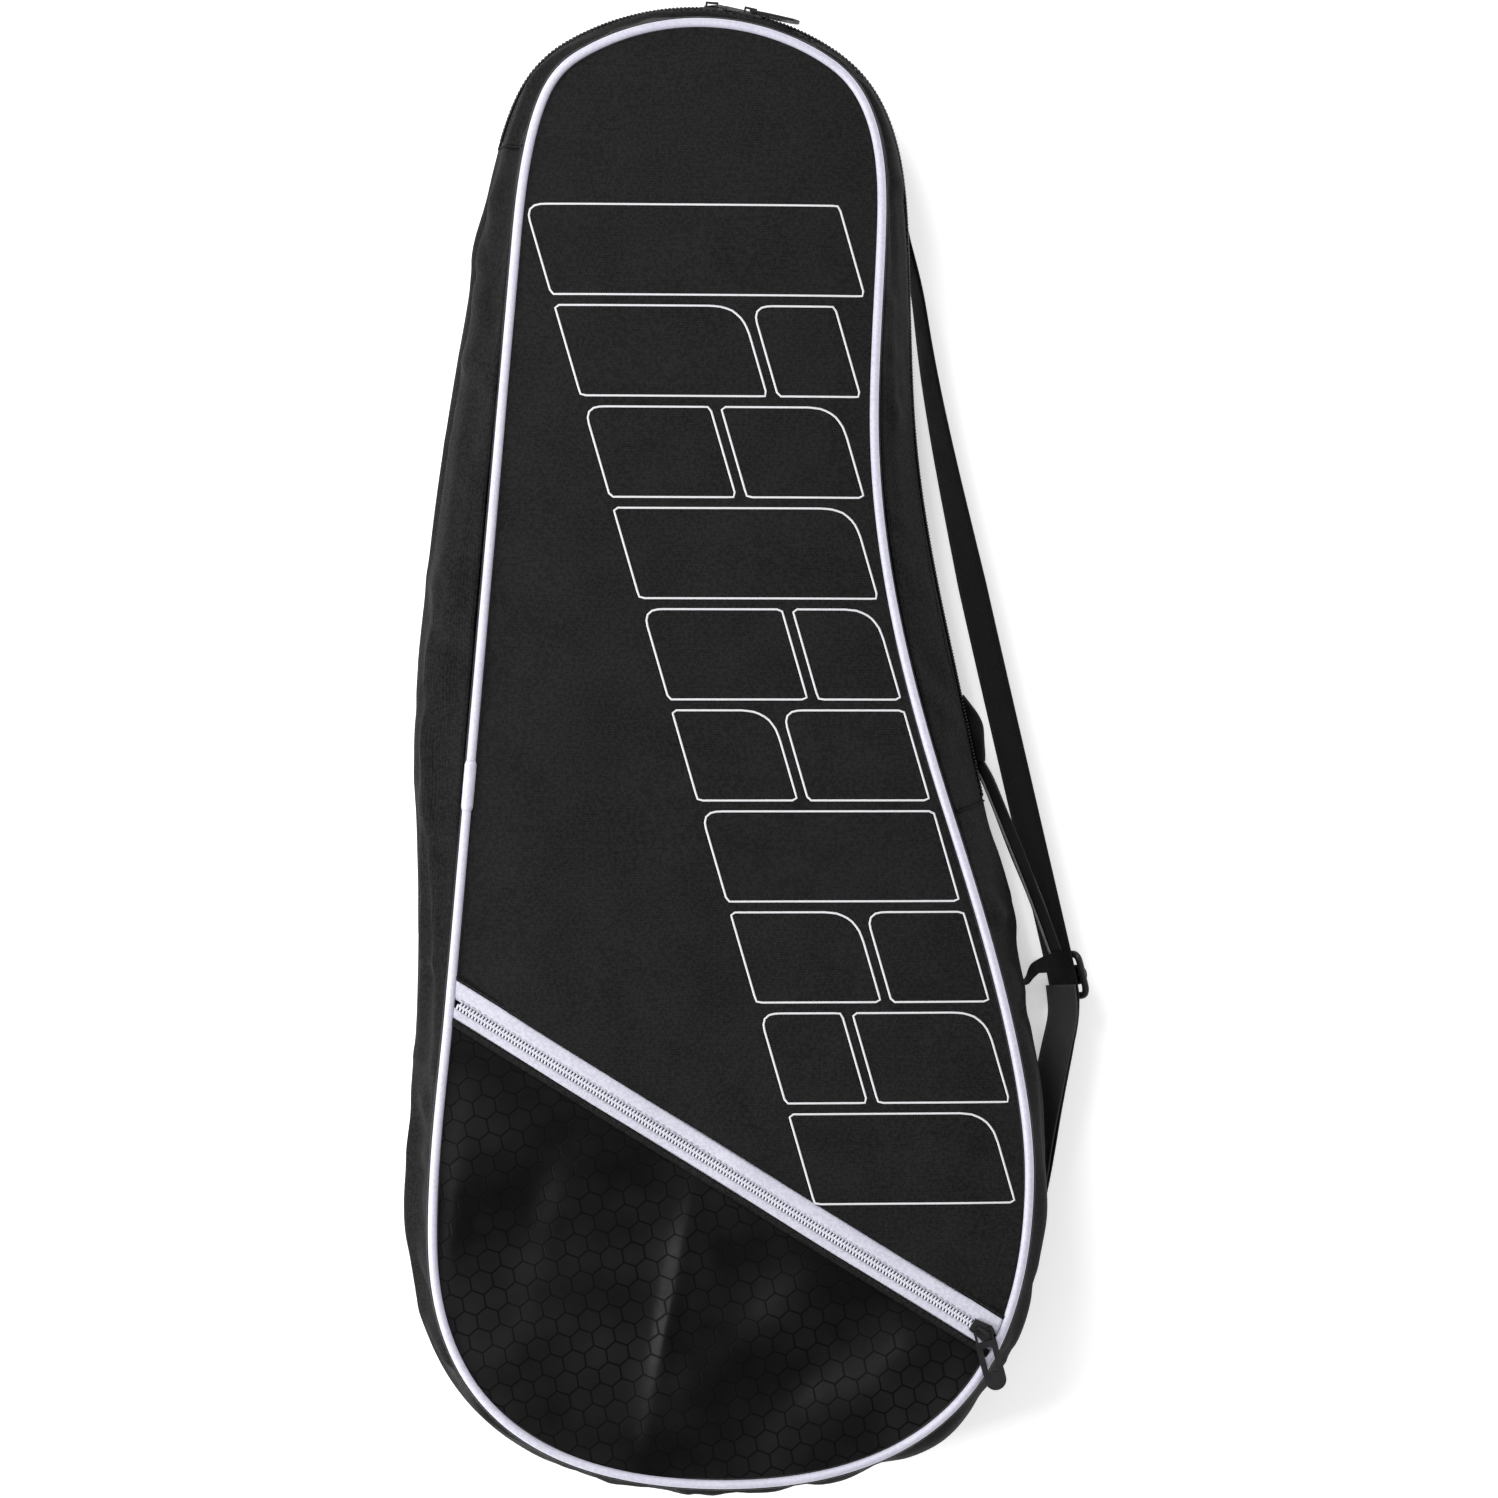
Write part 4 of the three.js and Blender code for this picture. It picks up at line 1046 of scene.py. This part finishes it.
def add_main_zip():
    for side, word, body in ((-1, "rear", "root"), (1, "front", "flap")):
        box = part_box("main_tape_" + word)
        near, far = (box[0].z, box[1].z) if side > 0 else (box[1].z, box[0].z)
        across = 7
        s, z = np.meshgrid(np.linspace(ZIP_START + 1 * MM, ZIP_END - 1 * MM, 420),
                           np.linspace(near - side * 1.8 * MM, far, across), indexing="ij")
        grid = wall_point(s, np.linspace(-1.0 * MM, -3.4 * MM, across)[None], z)
        tape = skin("main_zip_tape_" + word, grid, 0.6 * MM, [BLACK_TAPE], outward_at(s))

        at = np.arange(ZIP_START + 3 * MM, ZIP_END - 3 * MM, TOOTH_PITCH) + side * TOOTH_PITCH / 4
        out = outward_at(at)
        along = np.cross(out, UP)
        centres = wall_point(at, TOOTH_OUT, ZIP_Z + side * 0.85 * MM)
        teeth = beads("main_zip_teeth_" + word, centres, UP + along * TOOTH_SLANT * side, along, out,
                      (1.6 * MM, 0.5 * MM, 0.95 * MM), BLACK_COIL)
        settle(tape, "black_cloth", "main_tape_" + word, body=body, opens_from_zip=True)
        settle(teeth, "black_coil", "main_coil_" + word, body=body, opens_from_zip=True)


# ---- back ----

CHANNEL_WIDTH = 44 * MM


def back_height(points):
    x, y = points[:, 0], points[:, 1]
    slack = folds(x, y, SEED + 6, 40, AROUND_X, (-0.36, 0.36), 60 * MM, 16 * MM, 0.5 * MM, 80, 60)
    rounded = 0.45 * MM * (1 - near_edge(edge_distance(points), 20 * MM))
    return np.maximum(0.05 * MM, 0.5 * MM + slack - rounded)


def quilted_height(points):
    """The padding inside the back, sewn in long channels."""
    channel = np.abs(np.sin(points[:, 0] / CHANNEL_WIDTH * math.pi)) ** 0.4
    rise = 1.8 * MM * channel * (1 - near_edge(edge_distance(points), 14 * MM))
    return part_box("back_lining")[1].z - 1.6 * MM + rise


def add_back():
    cover = flat_skin("back_cover", 0.6 * MM, back_height, 1.2 * MM, [BLACK_CLOTH, LINING], 240, 90,
                      level=0.0, outward=-UP)
    settle(cover, "black_cloth", "back_panel")
    pad = flat_skin("back_pad", 4 * MM, quilted_height, 3.2 * MM, [LINING, LINING], 200, 110)
    settle(pad, "lining", "back_foam", "back_lining")

    path = wall_point(np.linspace(0, EDGE_LENGTH, 900)[:-1], 0.0, 0.0)
    path[:, 2] = BINDING_RADIUS + 0.1 * MM
    binding = tube("back_binding_cord", path, BINDING_RADIUS, [BINDING], sides=12, loop=True)
    settle(binding, "black_cloth", "back_binding")


# ---- strap ----

def ring_centres(name):
    """The middle line of a webbing node, from its four-cornered rings, from the handle end down."""
    points = np.unique(np.round(node_points(name), 6), axis=0)
    points = points[np.argsort(-points[:, 1])]
    whole = len(points) // 4 * 4
    return points[:whole].reshape(-1, 4, 3).mean(1)


def smooth_path(points, count, soften=2):
    """A path resampled to count points and averaged with its neighbours, soften times."""
    steps = path_steps(points)
    path = points_at(np.linspace(0, steps[-1], count), steps, points)
    for _ in range(soften):
        path[1:-1] = (path[:-2] + 2 * path[1:-1] + path[2:]) / 4
    return path


def ribbon(name, path, across, normal, width, thick, material, sides):
    """Flat webbing with soft rounded edges along a path; across and normal are its section's directions."""
    turn = np.linspace(0, 2 * math.pi, sides, endpoint=False) + math.pi / sides
    wide = np.sign(np.cos(turn)) * np.abs(np.cos(turn)) ** 0.35 * width / 2
    high = np.sign(np.sin(turn)) * np.abs(np.sin(turn)) ** 0.6 * thick / 2
    across, normal = (np.broadcast_to(way, path.shape)[:, None] for way in (across, normal))
    rings = path[:, None] + wide[None, :, None] * across + high[None, :, None] * normal
    return swept(name, path, rings, wide, [material])


def webbing(name, path, width, thick, leans, material, waver=0.0, seed=0):
    """Webbing whose width leans from the floor by leans degrees, spread evenly along the path."""
    side = unit(np.cross(path_directions(path), UP))
    t = np.linspace(0, 1, len(path))
    wave = waver * np.sin(2 * math.pi * (t * 1.7 + seed * 0.37)) * np.sin(math.pi * t)
    lean = np.radians(np.interp(t, np.linspace(0, 1, len(leans)), leans) + wave)[:, None]
    across = -np.cos(lean) * side + np.sin(lean) * UP
    normal = np.sin(lean) * side + np.cos(lean) * UP
    return ribbon(name, path, across, normal, width, thick, material, 22)


STRAP_WIDTH = 25 * MM
STRAP_THICK = 1.8 * MM
STRAP_LEAN = 62                 # degrees between the strap's straight stretch and the floor
GLIDE_AT = (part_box("tri_glide")[0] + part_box("tri_glide")[1]) / 2
GLIDE_LIFT = 3.0 * MM           # the tri-glide's frame lies this far outside the strap's middle line


def anchor_line(node, out, count=24):
    """Along the gusset where an anchor is sewn, from the handle end down."""
    points = node_points(node)
    low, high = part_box(node)
    ends = [edge_near(point[0], point[1]) for point in points]
    s = np.linspace(max(ends), min(ends), count)
    return wall_point(s, out, (low.z + high.z) / 2)


def strap_axes(along):
    """The strap's width direction and its outer face's direction on the straight stretch."""
    lean = math.radians(STRAP_LEAN)
    side = np.cross(along, UP)
    across = -math.cos(lean) * side + math.sin(lean) * UP
    outer = math.sin(lean) * side + math.cos(lean) * UP
    return across, outer if outer[0] > 0 else -outer


def add_strap():
    down = -np.array(JOINTS["tri_glide_slide"]["axis"])
    glide = np.array(GLIDE_AT)
    upper_anchor = anchor_line("strap_anchor_upper", 1.4 * MM)[:16]
    lower_anchor = anchor_line("strap_anchor_lower", 1.6 * MM)[5:]
    lower = np.concatenate([ring_centres("strap_lower"), lower_anchor])
    straps = [upper_anchor, ring_centres("strap_upper")[1:], ring_centres("strap_middle")[1:], lower]
    path = smooth_path(np.concatenate(straps), 260, 60)
    strap = webbing("shoulder_strap", path, STRAP_WIDTH, STRAP_THICK, strap_leans(path), WEBBING)
    settle(strap, "webbing", "strap_anchor_upper", "strap_upper", "strap_middle", "strap_lower",
           "strap_anchor_lower")
    add_strap_return(glide, down, lower)
    loop_rings = ring_centres("side_loop")
    add_side_strip(loop_rings)
    add_strap_tail()
    add_side_loop(loop_rings)
    add_tri_glide(glide, down)


def add_strap_return(glide, down, lower):
    """The strap's second layer, from the tri-glide to the lower anchor, baked in place."""
    back = smooth_path(np.concatenate([[glide + down * 4 * MM], lower]), 120, 20)
    t = np.linspace(0, 1, len(back))
    slack = (2.1 + 2.0 * np.sin(np.clip(t * 1.9, 0, 1) * math.pi)) * np.clip(1.6 - t, 0.4, 1) * MM
    back[:, 0] -= slack
    back[:, 2] += 1.5 * MM
    # The return layer's lighter colour is painted sheen of the satin face.
    layer = webbing("strap_return", back, STRAP_WIDTH * 0.96, STRAP_THICK * 0.8, [58, 60, 74, 86, 88],
                    WEBBING_REVERSE_PAINTED_SHEEN, waver=5, seed=1)
    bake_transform(layer)


def add_side_strip(loop_rings):
    """The thin bound strip from the side loop to the strap."""
    start = loop_rings[-1:] + np.array([[-2.5 * MM, 0, 0]])
    path = smooth_path(np.concatenate([start, ring_centres("strap_branch")]), 70, 10)
    strip = webbing("side_strip", path, 8 * MM, 1.6 * MM, [50, 34, 36], WEBBING, waver=8)
    settle(strip, "webbing", "strap_branch")
    # The bound edges are black binding; their pale colour is a painted highlight.
    for k, sign in enumerate((-1, 1)):
        edge_path = path + np.array([sign * 2.9 * MM, sign * 0.8 * MM, 1.0 * MM - sign * 1.6 * MM])
        binding = tube(f"side_strip_binding_{k}", edge_path, 0.7 * MM, [EDGE_PAINTED_HIGHLIGHT], sides=8)
        settle(binding, "black_cloth")


def add_side_loop(loop_rings):
    path = loop_rings.copy()
    path[:, 0] -= np.linspace(5 * MM, 3 * MM, len(path))
    path = smooth_path(path, 40, 6)
    loop = webbing("side_webbing_loop", path, 14 * MM, 2.4 * MM, [58, 40, 58], WEBBING, waver=6)
    settle(loop, "webbing", "side_loop")


def add_strap_tail():
    low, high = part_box("strap_tail")
    middle = (low.z + high.z) / 2
    path = np.array([
        [high.x, high.y - 1 * MM, middle + 3 * MM],
        [0.6 * high.x + 0.4 * low.x, high.y - 3 * MM, middle + 3 * MM],
        [0.3 * high.x + 0.7 * low.x, low.y - 1 * MM, middle + 2 * MM],
        [low.x - 3 * MM, low.y + 1 * MM, middle],
    ])
    tail = webbing("strap_tail_end", smooth_path(path, 40, 8), 11 * MM, 1.3 * MM, [40, 80, 88], WEBBING)
    settle(tail, "webbing", "strap_tail")


def strap_leans(path):
    """Leans along the whole strap: on edge where it is sewn on, leaning where it runs free."""
    y = path[:, 1]
    marks = np.array([-300, -250, -190, -150, -126, 86, 200, 262, 300]) * MM
    return list(np.interp(y, marks, [88, 86, 80, 74, STRAP_LEAN, STRAP_LEAN, 78, 87, 88]))


def rounded_loop(width, length, corner, count=60):
    """A closed rounded rectangle in its own plane, as (across, along) pairs."""
    x, y = width / 2, length / 2
    corners = [(-x, -y), (x, -y), (x, y), (-x, y)]
    return resample_loop(rounded_corners(corners, [corner] * 4, 8), count)


def bar(name, path, radius, flatness, normal, loop=False):
    """A moulded bar along a path, its section flattened along normal."""
    side = np.cross(path_directions(path, loop), normal)
    turn = np.linspace(0, 2 * math.pi, 14, endpoint=False)
    rings = (path[:, None] + np.cos(turn)[None, :, None] * radius * side[:, None]
             + np.sin(turn)[None, :, None] * radius * flatness * normal[None, None])
    return swept(name, path, rings, None, [MOULDED], loop)


def add_tri_glide(glide, down):
    across, outer = strap_axes(down)
    centre = glide + outer * GLIDE_LIFT
    shape = rounded_loop(27.6 * MM, 22 * MM, 5 * MM)
    ring = centre + shape[:, :1] * across + shape[:, 1:] * down
    t = np.linspace(-14 * MM, 14 * MM, 20)[:, None]
    turn = np.linspace(-0.15 * math.pi, 1.15 * math.pi, 24)[:, None]
    over = (centre + np.cos(turn) * 4.6 * MM * down + np.sin(turn) * 3.6 * MM * outer + 0.4 * MM * outer)
    normal = np.cross(path_directions(over), across)
    rim = bar("tri_glide_frame", ring, 1.9 * MM, 0.9, outer, loop=True)
    settle(rim, "black_plastic", "tri_glide", body="tri_glide")
    middle = bar("tri_glide_bar", centre + t * across + outer * 0.8 * MM, 1.5 * MM, 1.0, outer)
    settle(middle, "black_plastic", body="tri_glide")
    wrap = ribbon("tri_glide_wrap", over, across, normal, STRAP_WIDTH * 0.96, 1.3 * MM, WEBBING, 20)
    settle(wrap, "webbing", body="tri_glide")


# ---- hardware that keeps its CAD shape ----

def add_hardware():
    looks = {
        "pocket_slider": (ENAMEL, 0.35), "main_slider_a": (ENAMEL, 0.35), "main_slider_b": (ENAMEL, 0.35),
        "main_pull_a": (ENAMEL, 0.3), "main_pull_b": (ENAMEL, 0.3),
        "pocket_pull": (MOULDED, 0.4),
    }
    for name, (material, round_off) in looks.items():
        node = frame["nodes"][name]
        for place in node.material_slots:
            place.material = material
        bevel = node.modifiers.new("rounded edges", "BEVEL")
        bevel.width = round_off * MM
        bevel.segments = 3
        bevel.limit_method = "ANGLE"
        bevel.angle_limit = math.radians(30)
        normals = node.modifiers.new("even shading", "WEIGHTED_NORMAL")
        normals.keep_sharp = True


# ---- camera, light and floor ----

VIEW_SIDE = math.radians(4.5)   # the camera stands this far to the left of straight above
VIEW_DISTANCE = 2.5
VIEW_WIDTH = 0.7565             # width of the picture at the front face
SENSOR = 36
FLOOR_HALF = 12
FLOOR_Z = -0.2 * MM


def add_camera():
    camera = bpy.data.objects.new("camera", bpy.data.cameras.new("camera"))
    bpy.context.scene.collection.objects.link(camera)
    camera.data.sensor_width = SENSOR
    camera.data.lens = SENSOR * VIEW_DISTANCE / VIEW_WIDTH
    target = Vector((7.1 * MM, 1.5 * MM, FRONT_Z))
    back = Vector((-math.sin(VIEW_SIDE), 0, math.cos(VIEW_SIDE)))
    camera.location = target + back * VIEW_DISTANCE
    camera.rotation_euler = (0, -VIEW_SIDE, 0)
    bpy.context.scene.camera = camera


def add_light(name, place, size, power, aim=(0, 0, 0.04)):
    light = bpy.data.lights.new(name, "AREA")
    light.shape = "RECTANGLE"
    light.size, light.size_y = size
    light.energy = power
    lamp = bpy.data.objects.new(name, light)
    lamp.location = place
    lamp.rotation_mode = "QUATERNION"
    lamp.rotation_quaternion = (Vector(aim) - Vector(place)).to_track_quat("-Z", "Y")
    bpy.context.scene.collection.objects.link(lamp)


def add_stage():
    floor_nodes = Nodes("studio_floor")
    floor_nodes.shader.inputs["Base Color"].default_value = (0.95, 0.95, 0.95, 1)
    floor_nodes.shader.inputs["Roughness"].default_value = 0.9
    floor_nodes.shader.inputs["Emission Color"].default_value = (1, 1, 1, 1)
    floor_nodes.shader.inputs["Emission Strength"].default_value = 0.4
    corners = [(x * FLOOR_HALF, y * FLOOR_HALF, FLOOR_Z) for x, y in ((-1, -1), (1, -1), (1, 1), (-1, 1))]
    floor = make_piece("studio_floor", corners, [(0, 1, 2, 3)], [floor_nodes.material])
    world = bpy.data.worlds.new("studio")
    world.use_nodes = True
    world.node_tree.nodes["Background"].inputs["Color"].default_value = (1, 1, 1, 1)
    world.node_tree.nodes["Background"].inputs["Strength"].default_value = 0.5
    bpy.context.scene.world = world
    bpy.context.scene.view_settings.view_transform = "Standard"
    add_light("key_light", (-0.9, 1.3, 1.7), (0.8, 0.8), 30)
    add_light("side_light", (-1.7, -0.6, 1.0), (0.5, 1.0), 40)
    add_light("rim_light", (1.8, 0.5, 0.8), (0.5, 1.8), 10)


add_camera()
add_stage()
add_back()
add_gussets()
add_main_zip()
add_front()
add_piping()
add_print()
add_pocket()
add_strap()
add_hardware()
